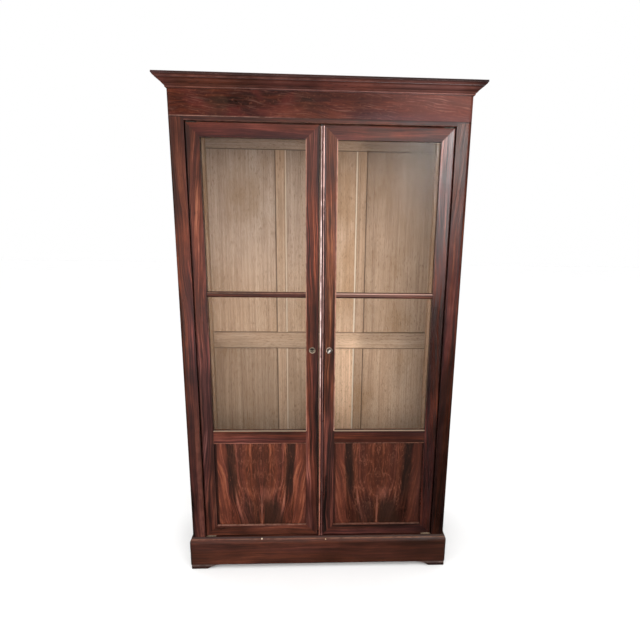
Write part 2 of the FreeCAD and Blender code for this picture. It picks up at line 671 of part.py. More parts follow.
door(-1, "left", S["free_left"], S["sight_left"], left_holes)
door(1, "right", -S["free_right"], S["sight_right"], right_holes)


def keyhole(x, z):
    return [cyl(x, -DF - 6, z + 1.5, 2.9, 12, "Y", "bore"),
            box(x - 1.4, x + 1.4, -DF - 6, 6 - DF, z - 7, z + 1.5, "slot")]


def escutcheon(x, tools):
    ring = cone(x, -DF - 1.2, LZ, 13.0, 14.0, 1.2, "Y", "ring")
    raised = cone(x, -DF - 3.0, LZ, 8.2, 9.4, 1.8, "Y", "ring")
    return cut(fuse([ring, raised]), tools)


node("left_escutcheon", escutcheon(-FX, keyhole(-FX, LZ)))
node("right_escutcheon", escutcheon(KX, [cyl(KX, -DF - 6, LZ, 5.0, 12, "Y", "bore")]))

# Slide bolts of the left door: plate with two staples, round rod with a small knob.


def bolt_guide(z0, z1, up):
    plate = box(-BX - 12, 12 - BX, -DR, guide_t - DR, z0, z1, "plate")
    st = []
    for a in ((z0 + 24, z0 + 34), (z1 - 34, z1 - 24)):
        st.append(box(-BX - 7, 7 - BX, -DR, 7 - BY, a[0], a[1], "staple"))
    g = fuse([plate] + st)
    tools = [cyl(-BX, -BY, z0 - 10, BR + 0.3, z1 - z0 + 20, "Z", "bore")]
    tools += [screw_bore(x, guide_t - DR, z) for x, z in left_screws if z0.val < z.val < z1.val]
    return cut(g, tools)


node("left_bolt_guides", group([bolt_guide(z0, z1, z0.val > 1000) for z0, z1 in guides]))
top0, top1 = guides[0]
low0, low1 = guides[1]
node("left_top_bolt", fuse([cyl(-BX, -BY, top0 + 12, BR, DT - 2 - top0 - 12, "Z", "rod"),
                            cyl(-BX, -BY, top0 + 52, 3, 13, "Y", "stem"),
                            cone(-BX, 11 - BY, top0 + 52, 4.2, 6.2, 7, "Y", "knob")]))
node("left_bottom_bolt", fuse([cyl(-BX, -BY, DL + 2, BR, low1 - 12 - DL - 2, "Z", "rod"),
                               cyl(-BX, -BY, low1 - 52, 3, 13, "Y", "stem"),
                               cone(-BX, 11 - BY, low1 - 52, 4.2, 6.2, 7, "Y", "knob")]))
# Keeper box for the lock bolt, on the inside of the left meeting stile.
keep = box(-34, -10, -DR, 12.5 - DR, LZ - 12, LZ + 46, "keeper")
node("lock_keeper", cut(keep, [box(-30, -9, 1.5 - DR, 11 - DR, LZ + 5, LZ + 29, "mouth"),
                               box(-35, -18, 1.5 - DR, 14 - DR, LZ - 13, LZ + 3, "ear"),
                               box(-35, -18, 1.5 - DR, 14 - DR, LZ + 31, LZ + 47, "ear")]
                        + [screw_bore(x, 1.5 - DR, z) for x, z in keeper_screws]))
node("left_door_screws", group([screw(x, guide_t - DR, z) for x, z in left_screws]
                               + [screw(x, 1.5 - DR, z, 9) for x, z in keeper_screws]))

# Rim lock of the right door: case, bolt above the key's sweep, key with its bow turned.
case_t = 15
case = box(-3.5, 57.5, -DR, case_t - DR, LZ - 41, LZ + 47, "case")
inner = box(-1.5, 55.5, 1.5 - DR, case_t - 1.5 - DR, LZ - 30, LZ + 36, "case_inner")
mouth = box(-5, 0, 2.5 - DR, 9.5 - DR, LZ + 11.7, LZ + 26.3, "mouth")
ears = [box(-4, 60, 1.5 - DR, case_t + 1 - DR, LZ - 42, LZ - 31.5, "ear"),
        box(-4, 60, 1.5 - DR, case_t + 1 - DR, LZ + 37.5, LZ + 48, "ear")]
keybore = cyl(KX, -DR - 1, LZ, 5.5, 3.5, "Y", "bore")
node("lock_case", cut(case, [inner, mouth, keybore] + ears + [screw_bore(x, 1.5 - DR, z) for x, z in lock_screws]))
node("lock_bolt", fuse([box(-3, 46, 3 - DR, 9 - DR, LZ + 12, LZ + 26, "bolt"),
                        box(14, 46, 9 - DR, 11.5 - DR, LZ + 15, LZ + 23, "talon")]))
node("right_door_screws", group([screw(x, 1.5 - DR, z, 9) for x, z in lock_screws]))

key_angle = 57.0
kx, kz = KX.val, LZ.val
rot_key = Rotation(Vector(0, 1, 0), -key_angle)


def key_piece(w, lo, hi, t, y0, y1):
    """A flat piece in the key's own plane, from lo to hi along its width."""
    o = doc.addObject("Part::Box", uid("key"))
    o.Length, o.Width, o.Height = hi - lo, y1 - y0, t
    base = rot_key.multVec(Vector(lo, 0, -t / 2.0))
    o.Placement = Placement(Vector(kx + base.x, y0, kz + base.z), rot_key)
    bind(o, "Placement.Base.x", KX + base.x)
    bind(o, "Placement.Base.z", LZ + base.z)
    CHECK.append(o)
    return o


def key_flat(verts, t, stem):
    """A flat profile in the key's own plane (across, depth), centred on that plane."""
    o = prism("XY", verts, -t / 2.0, t / 2.0, stem)
    base = rot_key.multVec(Vector(0, 0, -t / 2.0))
    o.Placement = Placement(Vector(kx + base.x, 0, kz + base.z), rot_key)
    bind(o, "Placement.Base.x", KX + base.x)
    bind(o, "Placement.Base.y", Q.of(0))
    bind(o, "Placement.Base.z", LZ + base.z)
    return o


# oval bow close to the escutcheon, its long way across the key
yb = -DF - 15.0
bow = key_flat([(-5.5, yb - 9, 36), (5.5, yb - 9, 9.5), (5.5, yb + 9, 36), (-5.5, yb + 9, 9.5)], 3.6, "bow")
bow_bore = key_flat([(-4.5, yb - 5, 30), (4.5, yb - 5, 5.4), (4.5, yb + 5, 30), (-4.5, yb + 5, 5.4)], 8.0, "bow")
key_stem = cyl(KX, -DF - 8.0, LZ, 2.4, (8.0 + DF - DR) + 10.5, "Y", "key")
collar = cyl(KX, -DF - 5.6, LZ, 3.8, 2.2, "Y", "key")
bit = key_piece(0, 1.5, 9.4, 2.2, -DR.val + 3.0, -DR.val + 9.5)
node("key", fuse([cut(bow, [bow_bore]), key_stem, collar, bit]))

# Astragal: two beads on a flat, a rounded head and a small block at its foot.
A0 = -S["free_right"]
AW = S["astragal_w"]
ast = prism("XY", [(A0, -DF), (A0, -DF - 2.2), (A0, -DF - 2.4, 4.9), (A0 + 9.4, -DF - 2.4),
                   (A0 + 10.4, -DF - 2.0), (A0 + 10.6, -DF - 2.4, 4.2), (A0 + 18.6, -DF - 2.4),
                   (A0 + AW - 2, -DF - 1.6), (A0 + AW, -DF - 1.2), (A0 + AW, -DF)], DL + 3, DT - 3, "astragal")
ast_head = prism("XZ", [(A0 - 1, DL), (A0 + AW + 1, DL), (A0 + AW + 1, DT - 14, 13.0), (A0 - 1, DT - 14)],
                 -DF - 12, 6 - DF, "astragal_head")
ast_foot = box(A0, A0 + AW, -DF - 7.5, -DF, DL + 3, DL + 18, "astragal_foot")
node("astragal", fuse([common(ast, ast_head), ast_foot]))

doc.recompute()

bad = [o.Name + " " + str(o.State) for o in doc.Objects if "Invalid" in o.State or "Error" in o.State]
for label, o in NODES:
    sh = o.Shape
    if sh.isNull() or not sh.isValid() or len(sh.Solids) == 0:
        bad.append(label + " has no valid solid")
if bad:
    raise RuntimeError("failed objects: " + "; ".join(bad[:12]))
labels = [label for label, o in NODES]
if len(set(labels)) != len(labels) or len(labels) > 60:
    raise RuntimeError("node names repeat or are too many: %d" % len(labels))

for label, o in NODES:
    o.Shape.exportStep("parts/%s.step" % label)
    bb = o.Shape.BoundBox
    print("%-24s solids %2d  vol %10.1f cm3  x %8.2f %8.2f  y %8.2f %8.2f  z %8.2f %8.2f" % (
        label, len(o.Shape.Solids), o.Shape.Volume / 1000.0, bb.XMin, bb.XMax, bb.YMin, bb.YMax, bb.ZMin, bb.ZMax))
print("nodes", len(NODES))
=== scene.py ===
import math

import bmesh
import bpy
from mathutils import Matrix, Vector


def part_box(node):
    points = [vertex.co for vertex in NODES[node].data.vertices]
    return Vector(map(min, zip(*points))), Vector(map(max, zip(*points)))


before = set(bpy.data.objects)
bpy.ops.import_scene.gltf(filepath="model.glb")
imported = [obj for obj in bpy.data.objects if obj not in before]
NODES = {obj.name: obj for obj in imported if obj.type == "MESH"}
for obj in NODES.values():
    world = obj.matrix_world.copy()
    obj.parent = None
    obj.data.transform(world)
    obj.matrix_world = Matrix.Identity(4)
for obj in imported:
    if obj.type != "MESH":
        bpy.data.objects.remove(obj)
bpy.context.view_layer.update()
scene = bpy.context.scene


# ------------------------------------------------------------------ node helpers
def srgb(r, g, b):
    """Display values 0-255 to linear colour."""
    def f(c):
        c /= 255.0
        return c / 12.92 if c <= 0.04045 else ((c + 0.055) / 1.055) ** 2.4
    return (f(r), f(g), f(b), 1.0)


class Mat:
    """A small builder for one material's nodes."""

    def __init__(self, name):
        self.mat = bpy.data.materials.new(name)
        self.mat.use_nodes = True
        self.t = self.mat.node_tree
        self.t.nodes.clear()
        self.out = self.t.nodes.new("ShaderNodeOutputMaterial")
        self.tc = self.t.nodes.new("ShaderNodeTexCoord")
        self.sep = self.t.nodes.new("ShaderNodeSeparateXYZ")
        self.t.links.new(self.tc.outputs["Object"], self.sep.inputs[0])
        self.x, self.y, self.z = (self.sep.outputs[i] for i in range(3))

    def put(self, socket, value):
        if isinstance(value, bpy.types.NodeSocket):
            self.t.links.new(value, socket)
        else:
            socket.default_value = value

    def math(self, op, a, b=None, clamp=False):
        n = self.t.nodes.new("ShaderNodeMath")
        n.operation = op
        n.use_clamp = clamp
        self.put(n.inputs[0], a)
        if b is not None:
            self.put(n.inputs[1], b)
        return n.outputs[0]

    def add(self, a, b):
        return self.math("ADD", a, b)

    def sub(self, a, b):
        return self.math("SUBTRACT", a, b)

    def mul(self, a, b):
        return self.math("MULTIPLY", a, b)

    def vec(self, x, y, z):
        n = self.t.nodes.new("ShaderNodeCombineXYZ")
        for i, v in enumerate((x, y, z)):
            self.put(n.inputs[i], v)
        return n.outputs[0]

    def noise(self, vec, scale=1.0, detail=2.0, rough=0.5, distort=0.0, colour=False):
        n = self.t.nodes.new("ShaderNodeTexNoise")
        n.noise_dimensions = "3D"
        self.put(n.inputs["Vector"], vec)
        n.inputs["Scale"].default_value = scale
        n.inputs["Detail"].default_value = detail
        n.inputs["Roughness"].default_value = rough
        n.inputs["Distortion"].default_value = distort
        return n.outputs["Color" if colour else "Fac"]

    def voronoi(self, vec, scale=1.0, feature="F1", rand=1.0):
        n = self.t.nodes.new("ShaderNodeTexVoronoi")
        n.feature = feature
        self.put(n.inputs["Vector"], vec)
        n.inputs["Scale"].default_value = scale
        n.inputs["Randomness"].default_value = rand
        return n.outputs["Distance"]

    def map(self, v, a, b, c=0.0, d=1.0, smooth=True):
        n = self.t.nodes.new("ShaderNodeMapRange")
        n.interpolation_type = "SMOOTHSTEP" if smooth else "LINEAR"
        n.clamp = True
        self.put(n.inputs["Value"], v)
        self.put(n.inputs["From Min"], a)
        self.put(n.inputs["From Max"], b)
        self.put(n.inputs["To Min"], c)
        self.put(n.inputs["To Max"], d)
        return n.outputs["Result"]

    def band(self, v, lo, hi, soft):
        """1 between lo and hi, falling to 0 over soft outside."""
        up = self.map(v, lo - soft, lo)
        down = self.map(v, hi, hi + soft, 1.0, 0.0)
        return self.mul(up, down)

    def ramp(self, fac, stops, mode="LINEAR"):
        n = self.t.nodes.new("ShaderNodeValToRGB")
        n.color_ramp.interpolation = mode
        e = n.color_ramp.elements
        while len(e) > 1:
            e.remove(e[-1])
        e[0].position, e[0].color = stops[0]
        for p, c in stops[1:]:
            k = e.new(p)
            k.color = c
        self.put(n.inputs[0], fac)
        return n.outputs[0]

    def mix(self, fac, a, b, blend="MIX"):
        n = self.t.nodes.new("ShaderNodeMix")
        n.data_type = "RGBA"
        n.blend_type = blend
        n.clamp_factor = True
        self.put(n.inputs[0], fac)
        self.put(n.inputs[6], a)
        self.put(n.inputs[7], b)
        return n.outputs[2]

    def mixf(self, fac, a, b):
        n = self.t.nodes.new("ShaderNodeMix")
        n.data_type = "FLOAT"
        self.put(n.inputs[0], fac)
        self.put(n.inputs[2], a)
        self.put(n.inputs[3], b)
        return n.outputs[0]

    def scale(self, colour, f):
        """Colour times a factor socket."""
        n = self.t.nodes.new("ShaderNodeVectorMath")
        n.operation = "SCALE"
        self.put(n.inputs[0], colour)
        self.put(n.inputs["Scale"], f)
        return n.outputs[0]

    def bump(self, height, distance, strength=1.0, normal=None):
        n = self.t.nodes.new("ShaderNodeBump")
        n.inputs["Strength"].default_value = strength
        n.inputs["Distance"].default_value = distance
        self.put(n.inputs["Height"], height)
        if normal is not None:
            self.put(n.inputs["Normal"], normal)
        return n.outputs[0]

    def shader(self, colour, rough=0.4, metallic=0.0, normal=None, coat=0.0, coat_rough=0.1, spec=0.5):
        p = self.t.nodes.new("ShaderNodeBsdfPrincipled")
        self.put(p.inputs["Base Color"], colour)
        self.put(p.inputs["Roughness"], rough)
        p.inputs["Metallic"].default_value = metallic
        p.inputs["Specular IOR Level"].default_value = spec
        p.inputs["Coat Weight"].default_value = coat
        p.inputs["Coat Roughness"].default_value = coat_rough
        if normal is not None:
            self.put(p.inputs["Normal"], normal)
            if coat > 0:
                self.put(p.inputs["Coat Normal"], normal)
        return p

    def finish(self, p):
        self.t.links.new(p.outputs[0], self.out.inputs["Surface"])
        return self.mat


# ------------------------------------------------------------------ polished veneer
RED = [(0.0, srgb(22, 12, 10)), (0.2, srgb(38, 20, 16)), (0.42, srgb(66, 32, 25)), (0.62, srgb(92, 46, 35)),
       (0.82, srgb(122, 68, 54)), (1.0, srgb(150, 96, 80))]


def axes(m, grain):
    """along the fibres, across them on the face, and the depth axis"""
    if grain == "Z":
        return m.z, m.x, m.y
    if grain == "X":
        return m.x, m.z, m.y
    return m.y, m.z, m.x


def figured(m, u, v, w, seed, wide=0.03, fine_wave=0.012, drift=0.0, contrast=1.0, big=22.0, med=100.0, short=1.0):
    """Streaked dark wood. Returns its colour, a gloss break-up field and a height field."""
    s = float(seed) * 1.37
    wander = m.noise(m.vec(m.mul(u, 1.3), m.mul(v, 5.0), m.add(m.mul(w, 4.0), s)), 1.0, 1.0, 0.5)
    ripple = m.noise(m.vec(m.mul(u, 4.6), m.mul(v, 14.0), m.add(m.mul(w, 9.0), s + 5.0)), 1.0, 2.0, 0.5)
    v1 = m.add(v, m.mul(w, 0.9))
    v1 = m.add(v1, m.mul(m.sub(wander, 0.5), wide * 2.0))
    v1 = m.add(v1, m.mul(m.sub(ripple, 0.5), fine_wave * 2.0))
    if drift:
        v1 = m.add(v1, m.mul(u, drift))
    n_big = m.noise(m.vec(m.mul(u, 0.9 * short), m.mul(v1, big), s + 1.0), 1.0, 3.0, 0.55)
    n_med = m.noise(m.vec(m.mul(u, 2.0 * short), m.mul(v1, med), s + 2.0), 1.0, 3.0, 0.6)
    n_fin = m.noise(m.vec(m.mul(u, 5.0 * short), m.mul(v1, med * 3.6), s + 3.0), 1.0, 2.0, 0.6)
    pore = m.noise(m.vec(m.mul(u, 36.0), m.mul(v1, 950.0), m.add(m.mul(w, 300.0), s)), 1.0, 1.0, 0.5)
    cloud = m.noise(m.vec(m.mul(u, 5.0), m.mul(v, 11.0), m.add(m.mul(w, 7.0), s + 9.0)), 1.0, 3.0, 0.6)
    f = m.mul(m.sub(n_big, 0.5), 0.95 * contrast)
    f = m.add(f, m.mul(m.sub(n_med, 0.5), 1.15 * contrast))
    f = m.add(f, m.mul(m.sub(n_fin, 0.5), 0.95 * contrast))
    f = m.add(f, m.mul(m.sub(cloud, 0.5), 0.55))
    f = m.math("ADD", f, 0.47, clamp=True)
    col = m.ramp(f, RED)
    hue = m.noise(m.vec(m.mul(u, 1.3), m.mul(v1, 17.0), s + 17.0), 1.0, 2.0, 0.5)
    plum = m.mix(1.0, col, (0.88, 0.90, 1.14, 1.0), "MULTIPLY")
    rust = m.mix(1.0, col, (1.10, 1.04, 0.76, 1.0), "MULTIPLY")
    col = m.mix(m.map(hue, 0.36, 0.64), plum, rust)
    col = m.mix(m.map(pore, 0.60, 0.68, 0.0, 0.55), col, srgb(34, 17, 13))
    return col, cloud, m.add(m.mul(n_fin, 0.5), m.mul(pore, 0.7)), f


def front_only(m):
    """1 on the front of the cornice box, 0 on its sides."""
    return m.map(m.y, -0.175, -0.203)


def plain_wood(m, u, v, w, seed):
    n = m.noise(m.vec(m.mul(u, 3.0), m.mul(v, 90.0), m.add(m.mul(w, 60.0), float(seed))), 1.0, 4.0, 0.62)
    return m.ramp(n, [(0.3, srgb(70, 41, 29)), (0.5, srgb(94, 58, 42)), (0.7, srgb(118, 80, 60))])


def right_foot_painted_shade(m):
    """Painted shade: darker towards the foot of the right side."""
    right = m.map(m.x, -0.10, 0.62, smooth=False)
    low = m.map(m.z, 1.55, 0.45)
    k = m.sub(1.0, m.mul(m.mul(right, low), 0.56))
    return m.mul(k, 0.74)


def veneer(name, grain="Z", seed=0.0, tone=1.0, back=None, extra=None, rough=0.32, level=0.22, field=True,
           tint=None, streak=0.0, **kw):
    m = Mat(name)
    u, v, w = axes(m, grain)
    col, cloud, height, f = figured(m, u, v, w, seed, **kw)
    if tint:
        col = m.mix(1.0, col, (*tint, 1.0), "MULTIPLY")
    k = m.map(cloud, 0.3, 0.7, tone * 0.9, tone * 1.1, smooth=False)
    # Overall tone, with painted shade towards the foot of the right side.
    k = m.mul(k, right_foot_painted_shade(m) if field else 0.74)
    col = m.scale(col, k)
    r = m.map(cloud, 0.3, 0.7, rough - 0.05, rough + 0.08, smooth=False)
    if streak:
        r = m.add(r, m.map(f, 0.28, 0.66, 0.08 * streak, -0.08 * streak, smooth=False))
    if extra:
        col, r = extra(m, col, r)
    if back is not None:
        b = back(m)
        col = m.mix(b, col, plain_wood(m, u, v, w, seed))
        r = m.mixf(b, r, 0.5)
    return m.finish(m.shader(col, r, normal=m.bump(height, 0.00010, 0.35), spec=level))


def lightly(m, col, mask, colour, amount, seed=0.0, scale=60.0):
    """A broken, uneven line or patch of another colour."""
    n = m.noise(m.vec(m.mul(m.x, scale), m.mul(m.y, scale), m.add(m.mul(m.z, scale), seed)), 1.0, 3.0, 0.6)
    return m.mix(m.mul(mask, m.map(n, 0.34, 0.6, amount * 0.35, amount)), col, colour)


def rise(m, v, *stops):
    """A factor that passes softly from stop to stop along a coordinate."""
    k = stops[0][1]
    for (a, ka), (b, kb) in zip(stops, stops[1:]):
        k = m.add(m.map(v, a, b, 0.0, kb - ka), k)
    return k


def spot(m, x0, z0, r):
    dx, dz = m.sub(m.x, x0), m.sub(m.z, z0)
    d = m.math("SQRT", m.add(m.mul(dx, dx), m.mul(dz, dz)))
    return m.map(d, r * 0.6, r, 1.0, 0.0)


# ------------------------------------------------------------------ pale inside wood
def pale_field(m, u, v, w, seed, tone=1.0, islands=True):
    isl = None
    s = float(seed)
    if islands:
        g = m.t.nodes.new("ShaderNodeNewGeometry")
        isl = g.outputs["Random Per Island"]
        s = m.add(m.mul(isl, 7.0), float(seed))
    wob = m.noise(m.vec(m.mul(u, 1.4), m.mul(v, 7.0), m.add(m.mul(w, 3.0), s)), 1.0, 2.0, 0.5)
    v1 = m.add(v, m.mul(m.sub(wob, 0.5), 0.03))
    grow = m.noise(m.vec(m.mul(u, 0.8), m.mul(v1, 60.0), m.add(m.mul(w, 9.0), s)), 1.0, 5.0, 0.68)
    line = m.noise(m.vec(m.mul(u, 2.6), m.mul(v1, 230.0), m.add(m.mul(w, 60.0), s)), 1.0, 2.0, 0.6)
    fine = m.noise(m.vec(m.mul(u, 16.0), m.mul(v, 620.0), m.mul(w, 620.0)), 1.0, 2.0, 0.6)
    fleck = m.noise(m.vec(m.mul(u, 45.0), m.mul(v, 210.0), m.mul(w, 210.0)), 1.0, 2.0, 0.5)
    stain = m.noise(m.vec(m.mul(u, 2.3), m.mul(v, 4.2), m.add(m.mul(w, 3.0), s)), 1.0, 4.0, 0.6)
    f = m.add(m.mul(m.sub(grow, 0.5), 1.05), m.mul(m.sub(line, 0.5), 0.75))
    f = m.add(f, m.mul(m.sub(fine, 0.5), 0.6))
    f = m.math("ADD", f, 0.5, clamp=True)
    col = m.ramp(f, [(0.05, srgb(150, 118, 96)), (0.5, srgb(198, 166, 140)), (0.95, srgb(224, 197, 172))])
    col = m.mix(m.map(stain, 0.46, 0.70, 0.0, 0.55), col, srgb(180, 140, 102))
    col = m.mix(m.map(fleck, 0.57, 0.69, 0.0, 0.50), col, srgb(130, 96, 70))
    k = m.map(stain, 0.28, 0.72, 1.11 * tone, 0.86 * tone, smooth=False)
    if islands:
        k = m.mul(k, m.map(isl, 0.0, 1.0, 0.90, 1.07, smooth=False))
    return m.scale(col, k), grow, m.add(m.mul(fine, 0.7), m.mul(grow, 0.5))


def pale(name, grain="Z", seed=0.0, tone=1.0, extra=None, outside=None, islands=True):
    m = Mat(name)
    u, v, w = axes(m, grain)
    col, grow, height = pale_field(m, u, v, w, seed, tone, islands)
    rough = m.map(grow, 0.3, 0.7, 0.55, 0.68, smooth=False)
    if extra:
        col, rough = extra(m, col, rough)
    if outside is not None:
        dark, cloud, h2, f = figured(m, u, w if grain != "Y" else v, v if grain != "Y" else w, seed + 3.0,
                                     contrast=0.8)
        mask = outside(m)
        col = m.mix(mask, col, m.scale(dark, m.map(cloud, 0.3, 0.7, 0.64, 0.80, smooth=False)))
        rough = m.mixf(mask, rough, 0.36)
    return m.finish(m.shader(col, rough, normal=m.bump(height, 0.0003, 0.6), spec=0.3))


# ------------------------------------------------------------------ metals and panes
def metal(name, base, tarnish, rough=0.35, spots=90.0, shift=0.5, shade=None, metallic=0.8):
    m = Mat(name)
    n = m.noise(m.vec(m.x, m.y, m.z), spots, 4.0, 0.6)
    n2 = m.noise(m.vec(m.x, m.y, m.z), spots * 7.0, 3.0, 0.6)
    f = m.add(m.mul(m.sub(n, 0.5), 2.2), m.mul(m.sub(n2, 0.5), 0.9))
    f = m.math("ADD", f, shift, clamp=True)
    col = m.mix(f, tarnish, base)
    r = m.map(f, 0.0, 1.0, rough + 0.2, rough - 0.06, smooth=False)
    if shade is not None:
        col = m.scale(col, shade(m))
    return m.finish(m.shader(col, r, metallic=metallic, normal=m.bump(n2, 0.0001, 0.3)))


def pane_material(name):
    m = Mat(name)
    film = m.noise(m.vec(m.mul(m.x, 3.0), m.y, m.mul(m.z, 2.2)), 2.0, 4.0, 0.6)
    speck = m.noise(m.vec(m.x, m.y, m.z), 240.0, 2.0, 0.6)
    low = m.map(m.z, 0.70, 1.2, 1.0, 0.25)
    dust = m.add(m.mul(m.map(film, 0.45, 0.75), 0.018),
                 m.mul(m.mul(m.map(speck, 0.56, 0.72), low), 0.10))
    dust = m.math("ADD", dust, 0.004, clamp=True)
    wave = m.noise(m.vec(m.x, m.y, m.mul(m.z, 0.5)), 4.0, 1.0, 0.5)
    nb = m.bump(wave, 0.004, 0.25)
    clear = m.t.nodes.new("ShaderNodeBsdfTransparent")
    clear.inputs[0].default_value = (0.985, 0.982, 0.970, 1.0)
    gloss = m.t.nodes.new("ShaderNodeBsdfGlossy")
    gloss.inputs["Color"].default_value = (1.0, 1.0, 1.0, 1.0)
    gloss.inputs["Roughness"].default_value = 0.05
    m.put(gloss.inputs["Normal"], nb)
    lw = m.t.nodes.new("ShaderNodeLayerWeight")
    lw.inputs["Blend"].default_value = 0.5
    m.put(lw.inputs["Normal"], nb)
    share = m.add(m.mul(m.math("POWER", lw.outputs["Facing"], 5.0), 0.90), 0.003)
    sheet = m.t.nodes.new("ShaderNodeMixShader")
    m.put(sheet.inputs[0], share)
    m.t.links.new(clear.outputs[0], sheet.inputs[1])
    m.t.links.new(gloss.outputs[0], sheet.inputs[2])
    haze = m.t.nodes.new("ShaderNodeBsdfDiffuse")
    haze.inputs["Color"].default_value = srgb(196, 186, 170)
    both = m.t.nodes.new("ShaderNodeMixShader")
    m.put(both.inputs[0], dust)
    m.t.links.new(sheet.outputs[0], both.inputs[1])
    m.t.links.new(haze.outputs[0], both.inputs[2])
    m.t.links.new(both.outputs[0], m.out.inputs["Surface"])
    return m.mat


# ------------------------------------------------------------------ assign materials
def assign(node, mat):
    o = NODES[node]
    o.data.materials.clear()
    o.data.materials.append(mat)
    for p in o.data.polygons:
        p.material_index = 0


def door_back(m):
    return m.map(m.y, -0.1865, -0.1845)


# Painted highlight colour for the frieze's lower edge.
LOWER_EDGE_HIGHLIGHT = srgb(158, 120, 106)
# Painted highlight colour for the ledge under the pane.
LEDGE_HIGHLIGHT = srgb(206, 184, 158)
# Dark colour for painted shade in gaps, recesses, quirks, seams and on turned-away edges.
PAINTED_SHADE_DARK = srgb(26, 13, 11)


def post_look(m, col, r):
    # Painted shade at the seam under the frieze.
    top = m.band(m.z, 2.0465, 2.052, 0.001)
    col = m.mix(m.mul(top, 0.75), col, PAINTED_SHADE_DARK)
    # Painted shade on the inner side beside the door.
    inner = m.map(m.math("ABSOLUTE", m.x), 0.5465, 0.5435)
    col = m.mix(m.mul(inner, 0.6), col, PAINTED_SHADE_DARK)
    # Painted shade on the rounded outer corner.
    outer = m.map(m.math("ABSOLUTE", m.x), 0.598, 0.604)
    col = m.mix(m.mul(outer, 0.55), col, PAINTED_SHADE_DARK)
    # Brightness along the height: partly wood tone, partly painted light and shade.
    left = m.map(m.x, 0.01, -0.01)
    k_left = rise(m, m.z, (0.55, 0.78), (0.95, 0.96), (1.15, 1.86), (1.50, 1.86), (1.72, 0.76), (1.95, 0.62))
    k_right = rise(m, m.z, (0.9, 0.66), (1.2, 1.02), (1.45, 0.98), (1.75, 0.84), (1.95, 1.20))
    col = m.scale(col, m.mixf(left, k_right, k_left))
    ridge = m.mul(m.band(m.x, -0.566, -0.551, 0.004), m.map(m.z, 0.95, 0.60))
    return lightly(m, col, ridge, srgb(112, 66, 54), 0.36, 5.0, 26.0), r


assign("front_post_left", veneer("post_left_veneer", "Z", 1.3, 0.86, extra=post_look, drift=0.03, contrast=0.9,
                                   tint=(1.0, 0.94, 0.93)))
assign("front_post_right", veneer("post_right_veneer", "Z", 2.9, 1.0, extra=post_look, drift=-0.03, contrast=1.0,
                                     tint=(1.02, 1.08, 1.14), rough=0.26, level=0.17, streak=0.6))


def hinge_edge(m, col, r):
    """Painted shade on the rounded edge of the hinge side and painted shade lines beside the panel and at the sight
    edge.
    """
    a = m.math("ABSOLUTE", m.x)
    edge = m.map(a, 0.5335, 0.5385)
    col = m.mix(m.mul(edge, 0.72), col, PAINTED_SHADE_DARK)
    # Brightness along the height: partly wood tone, partly painted light and shade.
    left = m.map(m.x, 0.0, -0.01)
    k_left = rise(m, m.z, (0.45, 0.64), (0.62, 0.50), (0.76, 0.36), (0.92, 0.38), (1.10, 0.90), (1.55, 0.88), (1.85, 0.54))
    k_right = rise(m, m.z, (0.42, 0.80), (0.62, 1.02), (0.80, 0.86), (0.94, 0.30), (1.24, 0.36), (1.45, 1.02))
    col = m.scale(col, m.mixf(left, k_right, k_left))
    # Painted shade beside the panel, at the sight edge and along the lip.
    beside = m.mul(m.band(a, 0.486, 0.498, 0.006), m.map(m.z, 0.66, 0.645))
    col = m.mix(m.mul(m.mul(beside, left), 0.45), col, PAINTED_SHADE_DARK)
    sight = m.mul(m.map(a, 0.4895, 0.4855), m.map(m.z, 0.66, 0.645))
    col = m.mix(m.mul(m.mul(sight, left), 0.75), col, PAINTED_SHADE_DARK)
    lip = m.map(a, 0.4868, 0.4852)
    col = m.mix(m.mul(lip, 0.45), col, PAINTED_SHADE_DARK)
    return col, r


def meeting_edge(m, col, r):
    a = m.math("ABSOLUTE", m.x)
    # Brightness along the height: partly wood tone, partly painted light and shade.
    k_left = rise(m, m.z, (0.35, 0.38), (0.50, 0.90), (0.80, 0.80), (1.2, 0.87), (1.5, 1.40), (1.85, 0.57))
    k_right = rise(m, m.z, (0.35, 0.95), (0.62, 2.00), (0.82, 1.12), (1.08, 0.48), (1.28, 0.60), (1.5, 1.12), (1.7, 1.02), (1.9, 0.52))
    left = m.map(m.x, -0.004, -0.010)
    col = m.scale(col, m.mixf(left, k_right, k_left))
    # A plum band on the right meeting stile: partly wood tone, partly painted sheen.
    plum = m.mul(m.band(m.z, 1.30, 1.68, 0.08), m.sub(1.0, left))
    col = m.mix(plum, col, m.mix(1.0, col, (1.0, 1.20, 1.40, 1.0), "MULTIPLY"))
    # Painted shade line at the sight edge beside the panel, a pale line beside the pane.
    beside_pane = m.map(m.z, 0.7125, 0.7145)
    lip = m.map(a, 0.0605, 0.0625)
    col = m.mix(m.mul(m.mul(lip, m.sub(1.0, beside_pane)), 0.4), col, PAINTED_SHADE_DARK)
    col = lightly(m, col, m.mul(lip, beside_pane), srgb(186, 138, 118), 0.62, 12.0, 22.0)
    # Painted shade in the gap beside the astragal.
    return m.mix(m.mul(m.band(m.x, -0.0125, -0.004, 0.0015), 0.72), col, PAINTED_SHADE_DARK), r


assign("left_hinge_stile", veneer("stile_1_veneer", "Z", 4.1, 1.22, door_back, hinge_edge, drift=-0.05, contrast=1.25,
                                    tint=(1.04, 1.00, 1.03)))
assign("left_meeting_stile", veneer("stile_2_veneer", "Z", 5.7, 1.20, door_back, meeting_edge, drift=0.015, contrast=1.4,
                                      tint=(1.0, 0.86, 0.75)))
assign("right_meeting_stile", veneer("stile_3_veneer", "Z", 7.2, 1.22, door_back, meeting_edge, contrast=1.25,
                                       tint=(1.0, 0.98, 0.80)))
assign("right_hinge_stile", veneer("stile_4_veneer", "Z", 8.8, 1.08, door_back, hinge_edge, drift=0.03, contrast=1.15,
                                     rough=0.25, tint=(1.16, 0.96, 0.92), level=0.42, streak=0.7))


